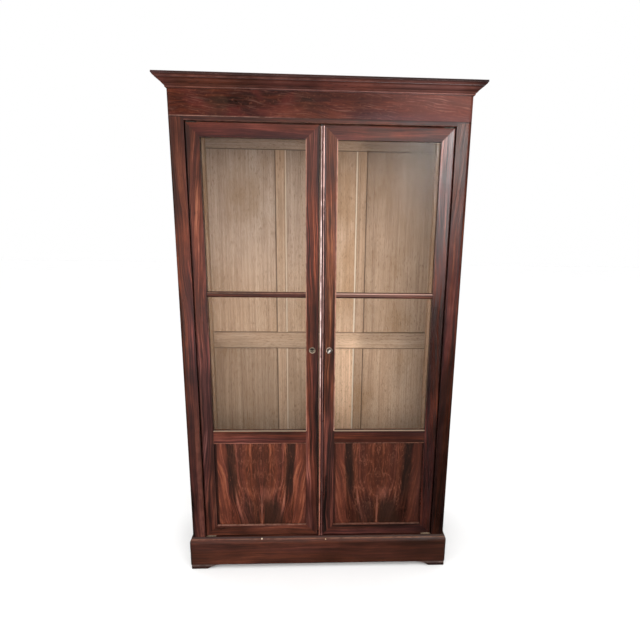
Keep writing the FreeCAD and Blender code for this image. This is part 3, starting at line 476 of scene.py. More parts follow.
def top_rail_look(m, col, r):
    # Painted shade line along the lower sight edge, above the pane.
    low = m.map(m.z, 1.9765, 1.9745)
    col = m.mix(m.mul(low, 0.4), col, PAINTED_SHADE_DARK)
    return col, r


def bottom_rail_look(m, col, r):
    """A painted highlight line along the ledge under the panel."""
    ledge = m.map(m.z, 0.2258, 0.2272)
    side = m.map(m.x, -0.02, 0.02, 0.62, 0.34)
    return lightly(m, col, m.mul(ledge, side), srgb(156, 114, 98), 1.0, 3.0, 60.0), r


def lock_rail_look(m, col, r):
    # Painted highlight line on the ledge under the pane.
    ledge = m.map(m.z, 0.7113, 0.7124)
    col = m.mix(m.mul(ledge, 0.42), col, LEDGE_HIGHLIGHT)
    # Painted highlight line on the lower front arris.
    arris = m.map(m.z, 0.6545, 0.6528)
    col = lightly(m, col, arris, srgb(170, 116, 92), 0.56, 4.0, 80.0)
    return col, r


def bar_look(m, col, r):
    # Painted shade on the underside of the bar.
    low = m.map(m.z, 1.340, 1.333)
    col = m.mix(m.mul(low, m.map(m.x, -0.02, 0.02, 0.5, 0.35)), col, PAINTED_SHADE_DARK)
    # Painted highlight along the top of the bar.
    crown = m.band(m.z, 1.3475, 1.3505, 0.0015)
    col = lightly(m, col, crown, srgb(160, 122, 102), 0.28, 6.0, 50.0)
    # Painted sheen, pinker and brighter on the right bar.
    right = m.map(m.x, 0.0, 0.02)
    broad = m.mul(m.band(m.z, 1.3385, 1.3500, 0.004), m.map(m.x, 0.50, 0.30, 0.25, 1.0))
    col = m.mix(m.mul(m.mul(broad, right), 0.14), col, srgb(168, 130, 116))
    col = m.mix(m.mul(m.mul(crown, right), 0.52), col, srgb(186, 148, 134))
    return col, r


def panel_look(xc, shade_left):
    """Two matched leaves: reddish outer stripes, dark stripes beside them, a mottled flame
    between, all drawn in towards the foot."""
    def look(m, col, r):
        lean = m.sub(0.652, m.z)
        n = m.noise(m.vec(m.mul(m.x, 16.0), 3.0, m.mul(m.z, 5.0)), 1.0, 3.0, 0.6)
        n2 = m.noise(m.vec(m.mul(m.x, 60.0), 7.0, m.mul(m.z, 9.0)), 1.0, 3.0, 0.6)
        w = m.math("ABSOLUTE", m.sub(m.x, xc))
        wn = m.add(w, m.add(m.mul(m.sub(n, 0.5), 0.024), m.mul(m.sub(n2, 0.5), 0.020)))
        edge = m.sub(0.160, m.mul(lean, 0.045))
        outer = m.map(m.sub(wn, edge), -0.004, 0.010)
        col = m.mix(m.mul(outer, 0.30), col, srgb(112, 58, 44))
        dark = m.mul(m.map(m.sub(wn, edge), 0.006, -0.006), m.map(m.sub(wn, m.sub(edge, 0.040)), -0.008, 0.006))
        fade = m.map(m.z, 0.29, 0.46)
        col = m.mix(m.mul(m.mul(dark, fade), 0.80), col, srgb(30, 18, 13))
        inner = m.map(m.sub(wn, m.sub(edge, 0.034)), 0.006, -0.010)
        high = m.map(m.z, 0.32, 0.42)
        col = m.mix(m.mul(m.mul(inner, high), 0.22), col, srgb(104, 54, 36))
        blot = m.noise(m.vec(m.mul(wn, 34.0), 11.0, m.mul(m.z, 16.0)), 1.0, 4.0, 0.62)
        fleck = m.noise(m.vec(m.mul(m.x, 150.0), 19.0, m.mul(m.z, 44.0)), 1.0, 3.0, 0.6)
        col = m.mix(m.mul(m.mul(inner, high), m.map(blot, 0.50, 0.68, 0.0, 0.42)), col, srgb(44, 24, 18))
        col = m.mix(m.mul(m.map(fleck, 0.52, 0.70, 0.0, 0.32), m.map(blot, 0.56, 0.42)), col, srgb(132, 76, 56))
        col = m.mix(m.map(fleck, 0.46, 0.32, 0.0, 0.30), col, srgb(40, 22, 17))
        curl = m.noise(m.vec(m.mul(wn, 30.0), 27.0, m.mul(m.z, 9.0)), 1.0, 4.0, 0.6)
        curl = m.map(m.math("ABSOLUTE", m.sub(curl, 0.5)), 0.0, 0.030, 1.0, 0.0)
        col = m.mix(m.mul(m.mul(curl, inner), m.map(fleck, 0.35, 0.6, 0.04, 0.28)), col, srgb(140, 88, 68))
        side = m.map(m.sub(m.x, xc), -0.01, 0.01, 0.45, 0.80)
        pool = m.mul(m.map(m.add(m.z, m.mul(m.sub(n2, 0.5), 0.10)), 0.385, 0.325),
                     m.mul(m.map(wn, 0.004, 0.018), m.map(m.add(wn, m.mul(m.sub(m.z, 0.228), 0.25)), 0.130, 0.095)))
        col = m.mix(m.mul(pool, side), col, srgb(35, 20, 13))
        seam = m.mul(m.map(m.add(w, m.mul(m.sub(n2, 0.5), 0.008)), 0.0055, 0.0010), m.map(m.z, 0.42, 0.32))
        col = m.mix(m.mul(seam, 0.42), col, srgb(132, 82, 66))
        dx, dz = m.mul(m.sub(m.x, xc + 0.026), 0.8), m.mul(m.sub(m.z, 0.385), 0.55)
        d = m.math("SQRT", m.add(m.mul(dx, dx), m.mul(dz, dz)))
        d = m.add(d, m.add(m.mul(m.sub(n2, 0.5), 0.045), m.mul(m.sub(blot, 0.5), 0.05)))
        col = m.mix(m.map(d, 0.034, 0.004, 0.0, 0.30), col, srgb(116, 70, 58))
        # Painted shade in the recess at the panel's left and right edges and under its top.
        gap = m.map(m.x, xc - 0.1990, xc - 0.2035)
        col = m.mix(m.mul(gap, shade_left), col, PAINTED_SHADE_DARK)
        far = m.map(m.x, xc + 0.2010, xc + 0.2050)
        col = m.mix(m.mul(far, 0.55 if xc > 0 else 0.15), col, PAINTED_SHADE_DARK)
        top = m.map(m.z, 0.6425, 0.6515)
        col = m.mix(m.mul(top, 0.62), col, PAINTED_SHADE_DARK)
        warm = m.mix(1.0, col, (1.0, 0.95, 0.88, 1.0), "MULTIPLY")
        # Painted shade: darker towards the right end of the right panel.
        return m.scale(warm, m.map(m.x, 0.30, 0.46, 1.0, 0.62)), r
    return look


def panel_veneer(name, xc, seed, tone, shade_left):
    """Book-matched: the same leaf mirrored about the panel's middle."""
    m = Mat(name)
    lean = m.sub(0.652, m.z)
    w = m.math("ABSOLUTE", m.sub(m.x, xc))
    across = m.add(m.add(w, m.mul(m.mul(lean, lean), 0.31)), m.mul(m.x, 0.04))
    col, cloud, height, f = figured(m, m.z, across, m.y, seed, wide=0.035, fine_wave=0.030, contrast=1.35,
                                    big=20.0, med=95.0, short=1.8)
    # Painted shade towards the foot of the right side.
    k = m.mul(m.map(cloud, 0.3, 0.7, tone * 0.85, tone * 1.15, smooth=False), right_foot_painted_shade(m))
    col = m.scale(col, k)
    r = m.map(cloud, 0.3, 0.7, 0.27, 0.40, smooth=False)
    col, r = panel_look(xc, shade_left)(m, col, r)
    b = m.map(m.y, -0.1905, -0.1895)
    col = m.mix(b, col, plain_wood(m, m.z, m.x, m.y, seed))
    return m.finish(m.shader(col, r, normal=m.bump(height, 0.00010, 0.35), spec=0.18))


# Per-rail tones: partly wood tone, partly painted light and shade, the right top rail lighter and the right lock rail
# darker.
for i, side in enumerate(("left", "right")):
    assign(side + "_top_rail", veneer(side + "_top_veneer", "X", 11.0 + 2 * i, 0.87 + 0.27 * i, door_back, top_rail_look,
                                      wide=0.03, contrast=0.62, short=1.6, level=0.18, streak=0.3,
                                      tint=((1.0, 0.82, 0.78), (1.10, 1.0, 1.0))[i]))
    assign(side + "_bottom_rail", veneer(side + "_bottom_veneer", "X", 14.0 + 2 * i, 1.15, door_back, bottom_rail_look,
                                         wide=0.03))
    assign(side + "_lock_rail", veneer(side + "_lock_veneer", "X", 15.0 + 2 * i, 0.98 - 0.14 * i, door_back, lock_rail_look,
                                       wide=0.03, tint=(1.0, 0.86, 0.76)))
    assign(side + "_glazing_bar", veneer(side + "_bar_veneer", "X", 17.5 + i, 0.88 + 0.08 * i, door_back, bar_look, wide=0.005,
                                         fine_wave=0.003, big=30.0, tint=(1.0, 0.98, 0.90)))
    assign(side + "_glazing_beads", veneer(side + "_bead_veneer", "Z", 19.0 + i, 0.75, door_back, wide=0.01))
# The right panel's lower tone is partly painted shade.
lo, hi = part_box("left_lower_panel")
assign("left_lower_panel", panel_veneer("left_panel_veneer", 0.5 * (lo[0] + hi[0]), 21.0, 1.10, 0.85))
lo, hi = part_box("right_lower_panel")
assign("right_lower_panel", panel_veneer("right_panel_veneer", 0.5 * (lo[0] + hi[0]), 21.0, 0.78, 0.7))


def astragal_look(m, col, r):
    """Painted highlights on the crests of the two beads, painted shade in the quirks."""
    one = m.band(m.x, -0.0022, 0.0012, 0.0012)
    two = m.band(m.x, 0.0088, 0.0108, 0.0012)
    quirk = m.band(m.x, 0.0045, 0.0058, 0.0006)
    last = m.band(m.x, 0.0142, 0.0180, 0.0008)
    col = m.mix(m.mul(quirk, 0.85), col, PAINTED_SHADE_DARK)
    col = m.mix(m.mul(last, 0.8), col, PAINTED_SHADE_DARK)
    # How strong the painted highlights are along the height.
    k_one = rise(m, m.z, (0.20, 0.50), (0.50, 0.46), (0.95, 0.60), (1.15, 0.95), (1.50, 0.95), (1.95, 0.26))
    k_two = rise(m, m.z, (0.65, 0.05), (1.15, 0.34), (1.45, 0.55), (1.62, 0.50), (1.80, 1.0))
    crest = m.mix(m.map(m.z, 0.72, 1.05), srgb(202, 128, 104), srgb(240, 214, 208))
    col = lightly(m, col, m.mul(one, k_one), crest, 0.96, 1.0, 18.0)
    col = lightly(m, col, m.mul(two, k_two), srgb(232, 190, 180), 0.96, 2.0, 18.0)
    return col, r


assign("astragal", veneer("astragal_veneer", "Z", 23.0, 1.25, extra=astragal_look, wide=0.004, fine_wave=0.002,
                          rough=0.26, level=0.5, field=False))


def frieze_look(m, col, r):
    """Soft crimson and olive patches and dark plumes on the left, fine pale wisps on the right,
    all sloping gently down to the right; a painted sheen, lighter and pinker towards the right; a painted highlight on
    the left of the lower edge, painted shade on its right and under the crown."""
    warp = m.sub(m.noise(m.vec(m.mul(m.x, 4.0), 1.0, m.mul(m.z, 9.0)), 1.0, 2.0, 0.5), 0.5)
    s = m.sub(m.mul(m.x, 0.96), m.mul(m.z, 0.28))
    t = m.add(m.add(m.mul(m.z, 0.98), m.mul(m.x, 0.13)), m.mul(warp, 0.06))
    left = m.map(m.x, 0.20, -0.20)
    right = m.map(m.x, -0.15, 0.40)
    patch = m.noise(m.vec(m.mul(s, 8.0), 3.0, m.mul(t, 17.0)), 1.0, 2.0, 0.5)
    col = m.mix(m.mul(m.map(patch, 0.48, 0.64, 0.0, 0.55), left), col, srgb(86, 36, 30))
    olive = m.noise(m.vec(m.mul(s, 9.0), 6.5, m.mul(t, 15.0)), 1.0, 2.0, 0.5)
    col = m.mix(m.mul(m.map(olive, 0.52, 0.66, 0.0, 0.34), left), col, srgb(62, 42, 30))
    warm = m.mul(m.band(m.x, -0.15, 0.06, 0.10), m.map(m.add(m.z, m.mul(warp, 0.05)), 2.108, 2.075))
    col = m.mix(m.mul(warm, 0.38), col, srgb(100, 52, 34))
    plume = m.noise(m.vec(m.mul(s, 6.0), 9.0, m.mul(t, 36.0)), 1.0, 3.0, 0.55)
    col = m.mix(m.mul(m.map(plume, 0.50, 0.35, 0.0, 0.60), m.map(right, 0.0, 1.0, 1.0, 0.35)), col, srgb(42, 21, 17))
    wisp = m.noise(m.vec(m.mul(s, 9.0), 12.0, m.mul(t, 210.0)), 1.0, 3.0, 0.6)
    gate = m.noise(m.vec(m.mul(s, 11.0), 15.0, m.mul(t, 24.0)), 1.0, 2.0, 0.5)
    wisp = m.mul(m.map(wisp, 0.52, 0.66), m.map(gate, 0.40, 0.60, 0.25, 1.0))
    col = m.mix(m.mul(wisp, m.map(right, 0.0, 1.0, 0.22, 0.42)), col, srgb(142, 98, 86))
    curl = m.noise(m.vec(m.mul(s, 60.0), 21.0, m.mul(t, 90.0)), 1.0, 3.0, 0.6)
    col = m.mix(m.map(curl, 0.54, 0.70, 0.0, 0.22), col, srgb(134, 78, 58))
    col = m.mix(m.map(curl, 0.44, 0.30, 0.0, 0.24), col, srgb(46, 24, 20))
    front = front_only(m)
    # Painted sheen: the front brighter towards the right.
    slope = rise(m, m.x, (-0.50, 0.78), (-0.20, 0.76), (0.12, 0.80), (0.36, 0.96), (0.52, 1.05))
    upper = m.mul(m.map(m.z, 2.100, 2.140), m.band(m.x, 0.04, 0.24, 0.12))
    slope = m.mul(slope, m.map(upper, 0.0, 1.0, 1.0, 0.72))
    col = m.scale(col, m.mixf(front, 0.86, slope))
    # Painted sheen: pinker on the right of the front.
    col = m.mix(m.mul(m.mul(m.map(m.x, 0.10, 0.50), front), 0.30), col, srgb(132, 80, 70))
    violet = m.mul(m.mul(m.map(m.z, 2.092, 2.056), m.map(m.x, 0.02, 0.30)), front)
    col = m.mix(m.mul(violet, 0.50), col, srgb(80, 52, 54))
    umber = m.mul(m.mul(m.map(m.z, 2.060, 2.048), m.map(m.x, 0.25, 0.05)), front)
    col = m.mix(m.mul(umber, 0.25), col, srgb(52, 28, 22))
    # Lower edge: painted highlight on the left, painted shade on the right.
    low = m.map(m.z, 2.0540, 2.0520)
    lit = m.map(m.x, -0.40, 0.05, 1.0, 0.10)
    col = m.mix(m.mul(m.mul(low, m.sub(1.0, lit)), 0.92), col, PAINTED_SHADE_DARK)
    col = lightly(m, col, m.mul(low, lit), LOWER_EDGE_HIGHLIGHT, 0.46, 8.0, 30.0)
    # Painted shade under the crown.
    top = m.map(m.z, 2.1460, 2.1500)
    col = m.mix(m.mul(top, 0.30), col, PAINTED_SHADE_DARK)
    return col, r


assign("frieze_front", veneer("frieze_veneer", "X", 31.0, 0.92, extra=frieze_look, wide=0.03, fine_wave=0.020,
                              big=16.0, med=70.0, contrast=0.75, short=2.5, level=0.075, tint=(1.0, 0.90, 0.86)))
assign("frieze_left", veneer("frieze_left_veneer", "Y", 32.0, 0.9, extra=frieze_look, wide=0.05))
assign("frieze_right", veneer("frieze_right_veneer", "Y", 33.0, 0.9, extra=frieze_look, wide=0.05))


def crown_look(m, col, r):
    """Painted shade and highlight lines along the mouldings, a painted sheen on the right, a dark top fillet and a bare
    dusty top.
    """
    front = front_only(m)
    east = m.mul(m.map(m.x, 0.02, 0.40), front)
    # Painted sheen: pinker towards the right of the front.
    pink = m.mul(m.mul(m.map(m.x, 0.08, 0.46), m.map(m.x, 0.53, 0.60, 1.0, 0.25)), front)
    col = m.mix(m.mul(pink, 0.34), col, srgb(122, 78, 74))
    # Painted highlight: the cove lighter, more so on the right.
    cove = m.band(m.z, 2.1640, 2.1800, 0.003)
    col = m.scale(col, m.map(cove, 0.0, 1.0, 1.0, m.mixf(east, 1.16, 1.06), smooth=False))
    # Painted shade lines along the mouldings.
    for lo_z, hi_z, soft, west_k, east_k in ((2.1495, 2.1512, 0.0006, 0.30, 0.40), (2.1572, 2.1584, 0.0006, 0.06, 0.10),
                                             (2.1648, 2.1672, 0.0014, 0.22, 0.50),
                                             (2.1802, 2.1830, 0.0010, 0.25, 0.40),
                                             (2.1905, 2.1960, 0.0030, 0.35, 0.58)):
        k = m.mixf(east, west_k, east_k)
        col = m.mix(m.mul(m.band(m.z, lo_z, hi_z, soft), k), col, PAINTED_SHADE_DARK)
    # Painted highlight lines along the mouldings.
    for lo_z, hi_z, soft, west_k, east_k in ((2.1532, 2.1556, 0.0010, 0.24, 0.46), (2.1588, 2.1622, 0.0014, 0.10, 0.14),
                                             (2.1728, 2.1768, 0.0016, 0.08, 0.20),
                                             (2.1836, 2.1866, 0.0016, 0.24, 0.08)):
        k = m.mixf(east, west_k, east_k)
        col = lightly(m, col, m.mul(m.band(m.z, lo_z, hi_z, soft), k), srgb(156, 108, 98), 1.0, lo_z * 40.0, 24.0)
    edge = m.map(m.z, 2.1925, 2.1955)
    col = m.mix(m.mul(edge, m.mixf(east, 0.64, 0.86)), col, PAINTED_SHADE_DARK)
    r = m.mixf(edge, r, 0.80)
    west = m.mul(m.map(m.x, -0.54, -0.63), front)
    col = m.mix(m.mul(west, 0.42), col, srgb(58, 30, 32))
    tip = m.mul(m.mul(m.map(m.x, 0.585, 0.630), m.map(m.z, 2.160, 2.185)), front)
    col = m.mix(m.mul(tip, 0.65), col, srgb(34, 20, 20))
    bare = m.map(m.z, 2.1990, 2.1997)
    col = m.mix(m.mul(bare, 0.9), col, srgb(60, 42, 36))
    return col, m.mixf(bare, r, 0.75)


for part, grain, seed in (("front", "X", 34.0), ("left", "Y", 35.0), ("right", "Y", 36.0)):
    assign("cornice_" + part, veneer("cornice_" + part + "_veneer", grain, seed, 1.30, extra=crown_look, wide=0.006,
                                     fine_wave=0.004, big=30.0, med=120.0, contrast=0.55, level=0.28))


def plinth_look(m, col, r):
    """Duller board with a painted highlight along the rounded lip, two chips, a painted shade line at the foot and
    painted shade on the corners.
    """
    col = m.mix(0.30, col, srgb(52, 28, 21))
    lip = m.map(m.z, 0.1605, 0.1640)
    col = m.mix(m.mul(lip, 0.7), col, srgb(46, 33, 34))
    # Painted highlight along the rounded lip.
    edge = m.band(m.z, 0.1570, 0.1605, 0.0016)
    col = lightly(m, col, edge, srgb(124, 88, 78), 0.46, 9.0, 30.0)
    for x0, z0, rad, k in ((-0.276, 0.1600, 0.0044, 0.80), (0.030, 0.1550, 0.0032, 0.62)):
        col = m.mix(m.mul(spot(m, x0, z0, rad), k), col, srgb(206, 190, 176))
    # Painted shade line at the foot.
    low = m.map(m.z, 0.0300, 0.0270)
    col = m.mix(m.mul(low, 0.7), col, PAINTED_SHADE_DARK)
    # Painted shade on the rounded corners.
    corner = m.map(m.math("ABSOLUTE", m.x), 0.606, 0.616)
    col = m.mix(m.mul(corner, 0.55), col, PAINTED_SHADE_DARK)
    brown = m.mix(1.0, col, (1.04, 0.88, 0.52, 1.0), "MULTIPLY")
    col = m.mix(m.map(m.x, -0.35, 0.30, 0.35, 1.0), col, brown)
    return col, m.math("ADD", r, 0.10)


assign("plinth_front", veneer("plinth_veneer", "X", 41.0, 1.0, extra=plinth_look, wide=0.02, contrast=0.75, short=1.8))
assign("plinth_left", veneer("plinth_left_veneer", "Y", 42.0, 0.86, extra=plinth_look, wide=0.02, contrast=0.75))
assign("plinth_right", veneer("plinth_right_veneer", "Y", 43.0, 0.86, extra=plinth_look, wide=0.02, contrast=0.75))


def foot_look(m, col, r):
    col = m.mix(0.6, col, srgb(34, 20, 17))
    # Painted highlight line at the joint under the plinth.
    joint = m.band(m.z, 0.0165, 0.0235, 0.0015)
    col = lightly(m, col, joint, srgb(118, 98, 92), 0.62, 7.0, 26.0)
    rub = m.map(m.z, 0.006, 0.001)
    return lightly(m, col, rub, srgb(120, 100, 88), 0.5, 2.0, 60.0), m.math("ADD", r, 0.16)


assign("feet", veneer("feet_wood", "X", 44.0, 0.6, extra=foot_look, wide=0.02, contrast=0.6))


def sill_look(m, col, r):
    front = m.map(m.y, -0.2005, -0.2035)
    col = m.mix(m.mul(front, 0.5), col, srgb(60, 34, 26))
    return col, r


def head_look(m, col, r):
    # Painted highlight along the lower edge.
    low = m.map(m.z, 2.0375, 2.0360)
    col = lightly(m, col, low, srgb(140, 98, 84), 0.26, 6.0, 34.0)
    # Painted shade at the top, under the frieze.
    top = m.map(m.z, 2.0468, 2.0485)
    col = m.mix(m.mul(top, 0.7), col, PAINTED_SHADE_DARK)
    return col, r


assign("sill_rail", veneer("sill_veneer", "X", 45.0, 0.8, extra=sill_look, wide=0.02))
assign("head_rail", veneer("head_veneer", "X", 46.0, 0.75, extra=head_look, wide=0.01, tint=(1.0, 0.91, 0.88)))


def outer_side(m):
    return m.map(m.math("ABSOLUTE", m.x), 0.5935, 0.5945)


for node, grain, seed in (("side_panel_left", "Z", 51.0), ("side_panel_right", "Z", 52.0), ("side_rails", "Y", 53.0),
                          ("rear_post_left", "Z", 54.0), ("rear_post_right", "Z", 55.0)):
    assign(node, pale(node + "_wood", grain, seed, 0.9, outside=outer_side))


def muntin_look(m, col, r):
    """A painted highlight on the inner arris, painted shade just outside it and a painted shade line along the outer
    edge.
    """
    a = m.math("ABSOLUTE", m.x)
    front = m.map(m.y, 0.2335, 0.2315)
    inner = m.mul(m.mul(m.map(a, 0.1800, 0.1785), m.map(m.x, -0.01, 0.01, 0.55, 0.88)), front)
    col = m.mix(inner, col, srgb(238, 224, 206))
    beside = m.band(a, 0.1815, 0.1835, 0.001)
    col = m.mix(m.mul(m.mul(beside, front), 0.45), col, srgb(120, 92, 72))
    outer = m.mul(m.map(a, 0.2235, 0.2250), m.map(front, 0.0, 1.0, 0.35, 1.0))
    col = m.mix(m.mul(outer, 0.82), col, srgb(84, 60, 46))
    return col, r


def back_light_and_shade(m, col):
    """Painted light and shade on the back: greyer high on the left as painted reflection, painted shade under the top
    and towards the right side, darker low on the left and lighter low on the right, lighter in the middle and in a
    painted light column beside it; the joints of the front faces aren't crossed.
    """
    a = m.math("ABSOLUTE", m.x)
    top = m.map(m.z, 1.70, 2.02)
    side = m.map(m.x, 0.40, 0.56)
    middle = m.map(a, 0.26, 0.10, 0.92, 1.10)
    column = m.map(m.x, 0.17, 0.25, 1.18, 0.84)
    column = m.mixf(m.map(m.x, 0.03, 0.06), 1.0, column)
    low = m.map(m.z, 1.06, 0.96, 1.0, m.map(m.x, -0.05, 0.15, 0.84, 1.24))
    k = m.mul(m.mul(middle, column), m.sub(1.0, m.add(m.mul(top, 0.24), m.mul(side, 0.10))))
    grey = m.mix(1.0, col, (0.99, 1.08, 1.24, 1.0), "MULTIPLY")
    faded = m.mul(m.map(m.z, 1.15, 1.70), m.map(m.x, 0.05, -0.18, 0.25, 1.0))
    dull = m.mix(1.0, col, (0.95, 1.00, 1.06, 1.0), "MULTIPLY")
    col = m.mix(m.map(m.x, 0.32, 0.48), m.mix(faded, col, grey), dull)
    return m.scale(col, m.mul(k, low))


def back_rail_look(m, col, r):
    for z0, z1 in ((0.9865, 0.9905), (1.0730, 1.0775), (1.9855, 1.9900)):
        col = m.mix(m.mul(m.band(m.z, z0, z1, 0.0008), 0.72), col, srgb(92, 68, 50))
    return back_light_and_shade(m, col), r


def back_panel_look(m, col, r):
    """Boards of the fields: faint joints."""
    saw = m.math("ABSOLUTE", m.sub(m.math("FRACT", m.add(m.mul(m.x, 7.9), 0.31)), 0.5))
    joint = m.map(saw, 0.0085, 0.003)
    col = m.mix(m.mul(joint, 0.30), col, srgb(120, 92, 70))
    # Painted shadow on the panels beside the muntins.
    side = m.map(m.math("ABSOLUTE", m.x), 0.2335, 0.2300)
    side = m.mul(side, m.map(m.math("ABSOLUTE", m.x), 0.2, 0.21))
    col = m.mix(m.mul(side, 0.5), col, srgb(110, 82, 62))
    return back_light_and_shade(m, col), r


assign("back_panels", pale("back_panel_wood", "Z", 61.0, 1.0, extra=back_panel_look))
assign("back_muntins", pale("back_muntin_wood", "Z", 62.0, 0.98, extra=muntin_look))
assign("back_rails", pale("back_rail_wood", "X", 63.0, 0.95, extra=back_rail_look))
assign("bottom_board", pale("bottom_board_wood", "X", 64.0, 0.85))
assign("top_board", pale("top_board_wood", "X", 65.0, 0.85))
assign("dust_board", pale("dust_board_wood", "X", 66.0, 0.7))
assign("frieze_rear", pale("frieze_rear_wood", "X", 67.0, 0.8))

glass = pane_material("old_pane_glass")
assign("left_glass", glass)
assign("right_glass", glass)


def upper_dim(m):
    # Painted shade on the pivot plates under the head rail, and a painted highlight towards the right.
    return m.mul(m.map(m.z, 1.9, 2.0, 1.0, 0.05), m.map(m.x, 0.0, 0.3, 0.95, 1.6))


brass = metal("aged_brass", srgb(190, 158, 108), srgb(92, 70, 48), 0.36)
plate = metal("dull_pivot_brass", srgb(178, 158, 134), srgb(92, 76, 62), 0.4, shade=upper_dim, metallic=0.6)
iron = metal("dull_steel", srgb(176, 172, 166), srgb(84, 76, 70), 0.38)
def key_shade(m):
    """A painted highlight along the middle of the bow, painted shade towards its rim."""
    dx, dz = m.sub(m.x, 0.0385), m.sub(m.z, 1.097)
    off = m.math("ABSOLUTE", m.sub(m.mul(dx, 0.80), m.mul(dz, 0.60)))
    along = m.math("ABSOLUTE", m.add(m.mul(dx, 0.60), m.mul(dz, 0.80)))
    return m.mul(m.map(off, 0.0010, 0.0034, 1.0, 0.14), m.map(along, 0.0060, 0.0105, 1.0, 0.35))


keymetal = metal("key_steel", srgb(250, 246, 240), srgb(196, 188, 178), 0.26, metallic=0.5, shade=key_shade)
for n in ("bolt_keepers", "left_bolt_guides", "lock_keeper"):
    assign(n, brass)
for n in ("pivot_plates", "left_pivot_leaves", "right_pivot_leaves"):
    assign(n, plate)


def ring_shade(x0, inner, bar):
    """A rim painted lighter on one side as painted highlight and darker on the other as painted shade, round a dark
    middle, with or without a painted light bar across it.
    """
    def shade(m):
        dx, dz = m.sub(m.x, x0), m.sub(m.z, 1.097)
        d = m.math("SQRT", m.add(m.mul(dx, dx), m.mul(dz, dz)))
        k = m.map(d, inner, inner + 0.0012, 0.14, 1.0)
        if bar:
            k = m.math("MAXIMUM", k, m.mul(m.map(m.math("ABSOLUTE", m.add(dz, 0.0008)), 0.0026, 0.0018), 0.7))
            return m.mul(k, m.map(dz, 0.010, -0.010, 0.50, 1.20))
        return m.mul(k, m.map(m.sub(dx, dz), 0.012, -0.012, 0.55, 1.35))
    return shade


assign("left_escutcheon", metal("grey_ring_brass", srgb(196, 180, 156), srgb(104, 90, 74), 0.34, shift=0.5,
                                metallic=0.5, shade=ring_shade(-0.0365, 0.0098, True)))
assign("right_escutcheon", metal("dark_ring_brass", srgb(176, 154, 138), srgb(80, 64, 54), 0.42, shift=0.5,
                                 metallic=0.5, shade=ring_shade(0.0385, 0.0098, False)))
for n in ("left_top_bolt", "left_bottom_bolt", "lock_bolt", "lock_case", "left_door_screws", "right_door_screws"):
    assign(n, iron)
assign("key", keymetal)


# ------------------------------------------------------------------ softened edges
def bevel(node, width, segments=2, angle=35.0):
    o = NODES[node]
    b = o.modifiers.new("soft_edge", "BEVEL")
    b.width = width
    b.segments = segments
    b.limit_method = "ANGLE"
    b.angle_limit = math.radians(angle)
    b.harden_normals = False
    b.use_clamp_overlap = True
    return b


for name, o in NODES.items():
    mesh = o.data
    for p in mesh.polygons:
        p.use_smooth = True
    mesh.update()
    if name in ("left_glass", "right_glass"):
        continue
    if name in ("left_door_screws", "right_door_screws", "key", "left_escutcheon", "right_escutcheon"):
        bevel(name, 0.0002, 1)
    elif name.startswith("cornice") or name == "astragal":
        bevel(name, 0.0004, 2, 25.0)
    elif "stile" in name or "rail" in name or "bar" in name:
        bevel(name, 0.0006, 2)
    else:
        bevel(name, 0.0010, 2)
    o.modifiers.new("weighted", "WEIGHTED_NORMAL").keep_sharp = False


# ------------------------------------------------------------------ stage: floor and light
def stage_floor():
    size = 14.0
    bm = bmesh.new()
    corners = [bm.verts.new((x, y, -0.0005)) for x, y in ((-size, -6.0), (size, -6.0), (size, 16.0), (-size, 16.0))]
    bm.faces.new(corners)
    me = bpy.data.meshes.new("studio_floor")
    bm.to_mesh(me)
    bm.free()
    o = bpy.data.objects.new("studio_floor", me)
    scene.collection.objects.link(o)
    m = Mat("studio_floor_paint")
    n = m.noise(m.vec(m.x, m.y, m.z), 3.0, 3.0, 0.5)
    col = m.ramp(n, [(0.3, (0.93, 0.93, 0.93, 1)), (0.7, (0.95, 0.95, 0.95, 1))])
    me.materials.append(m.finish(m.shader(col, 0.9, spec=0.1)))
    return o


stage_floor().visible_glossy = False


def area(name, loc, target, size, power, colour=(1, 1, 1), size_y=None):
    d = bpy.data.lights.new(name, "AREA")
    d.shape = "RECTANGLE"
    d.size = size
    d.size_y = size_y if size_y else size
    d.energy = power
    d.color = colour
    o = bpy.data.objects.new(name, d)
    scene.collection.objects.link(o)
    o.location = loc
    o.rotation_euler = (Vector(target) - Vector(loc)).to_track_quat("-Z", "Y").to_euler()
    return o


area("soft_top", (0.3, -2.6, 4.3), (0.0, -0.1, 0.9), 2.4, 50.0, (1.0, 0.985, 0.97), 1.6)
area("soft_left", (-3.4, -2.6, 2.2), (0.0, 0, 1.0), 1.4, 25.0, (1.0, 0.99, 0.98), 2.2)
fill = area("soft_front", (0.25, -3.3, 1.9), (0.0, 0, 1.15), 1.5, 38.0, (1.0, 0.985, 0.965))
fill.visible_glossy = False


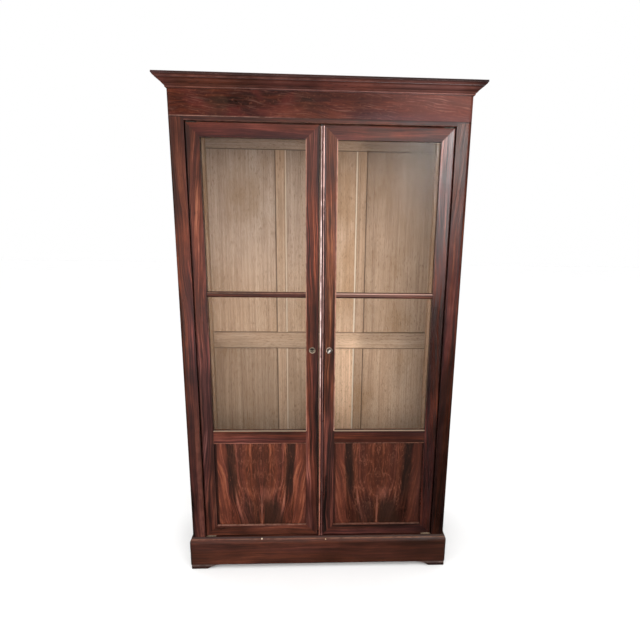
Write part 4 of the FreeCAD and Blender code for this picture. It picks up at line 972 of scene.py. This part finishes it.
def studio_air():
    """Even white light on the matt surfaces, a softer dome with a brighter quarter for the gloss."""
    world = bpy.data.worlds.new("studio_air")
    world.use_nodes = True
    t = world.node_tree
    t.nodes.clear()
    out = t.nodes.new("ShaderNodeOutputWorld")
    tc = t.nodes.new("ShaderNodeTexCoord")

    def math_node(op, a, b=None, clamp=False):
        n = t.nodes.new("ShaderNodeMath")
        n.operation = op
        n.use_clamp = clamp
        for s, v in zip(n.inputs, (a, b)):
            if v is None:
                continue
            if isinstance(v, bpy.types.NodeSocket):
                t.links.new(v, s)
            else:
                s.default_value = v
        return n.outputs[0]

    def lobe(d, power, gain):
        d = Vector(d).normalized()
        n = t.nodes.new("ShaderNodeVectorMath")
        n.operation = "DOT_PRODUCT"
        t.links.new(tc.outputs["Generated"], n.inputs[0])
        n.inputs[1].default_value = d
        c = math_node("MAXIMUM", n.outputs["Value"], 0.0)
        return math_node("MULTIPLY", math_node("POWER", c, power), gain)

    soft = math_node("ADD", lobe((0.2, -1.0, 0.35), 1.5, 0.25), 1.02)
    up = t.nodes.new("ShaderNodeSeparateXYZ")
    t.links.new(tc.outputs["Generated"], up.inputs[0])
    height = math_node("ADD", math_node("MULTIPLY", up.outputs[2], 1.3), 0.55, clamp=True)
    gloss = math_node("ADD", lobe((0.0, -1.0, 0.30), 3.0, 0.34), 0.12)
    gloss = math_node("MULTIPLY", gloss, height)
    gloss = math_node("ADD", gloss, lobe((0.27, -1.0, 0.140), 165.0, 31.5))
    gloss = math_node("ADD", gloss, lobe((-0.27, -1.0, -0.15), 50.0, 2.6))
    gloss = math_node("ADD", gloss, lobe((-0.2, -0.6, 0.9), 8.0, 0.9))
    path = t.nodes.new("ShaderNodeLightPath")

    def pick(fac, a, b):
        n = t.nodes.new("ShaderNodeMix")
        n.data_type = "FLOAT"
        t.links.new(fac, n.inputs[0])
        for s, v in ((n.inputs[2], a), (n.inputs[3], b)):
            if isinstance(v, bpy.types.NodeSocket):
                t.links.new(v, s)
            else:
                s.default_value = v
        return n.outputs[0]

    strength = pick(path.outputs["Is Glossy Ray"], soft, gloss)
    strength = pick(path.outputs["Is Camera Ray"], strength, 1.0)
    bg = t.nodes.new("ShaderNodeBackground")
    bg.inputs[0].default_value = (1.0, 1.0, 1.0, 1.0)
    t.links.new(strength, bg.inputs[1])
    t.links.new(bg.outputs[0], out.inputs[0])
    scene.world = world


studio_air()
scene.view_settings.view_transform = "Standard"
scene.view_settings.look = "None"


# ------------------------------------------------------------------ camera
def camera():
    cx, cy, cz = -0.0050, -2.2670, 1.6680
    yaw, pitch, roll = -0.0460, 0.2257, -0.0159
    f, px, py = 483.3, 341.2, 329.1
    ca, sa = math.cos(yaw), math.sin(yaw)
    cp, sp = math.cos(pitch), math.sin(pitch)
    cr, sr = math.cos(roll), math.sin(roll)
    x_row = Vector((ca, sa, 0.0))
    y_row = Vector((-sa, ca, 0.0))
    z_row = Vector((0.0, 0.0, 1.0))
    fwd = cp * y_row - sp * z_row
    z2 = sp * y_row + cp * z_row
    right = cr * x_row - sr * z2
    up = sr * x_row + cr * z2
    cam = bpy.data.cameras.new("photo_view")
    cam.sensor_width = 36.0
    cam.sensor_fit = "HORIZONTAL"
    cam.lens = f / 640.0 * 36.0
    cam.shift_x = (320.0 - px) / 640.0
    cam.shift_y = (py - 320.0) / 640.0
    cam.clip_start = 0.05
    cam.clip_end = 60.0
    o = bpy.data.objects.new("photo_view", cam)
    scene.collection.objects.link(o)
    o.matrix_world = Matrix((
        (right.x, up.x, -fwd.x, cx),
        (right.y, up.y, -fwd.y, cy),
        (right.z, up.z, -fwd.z, cz),
        (0.0, 0.0, 0.0, 1.0)))
    scene.camera = o
    return o


camera()
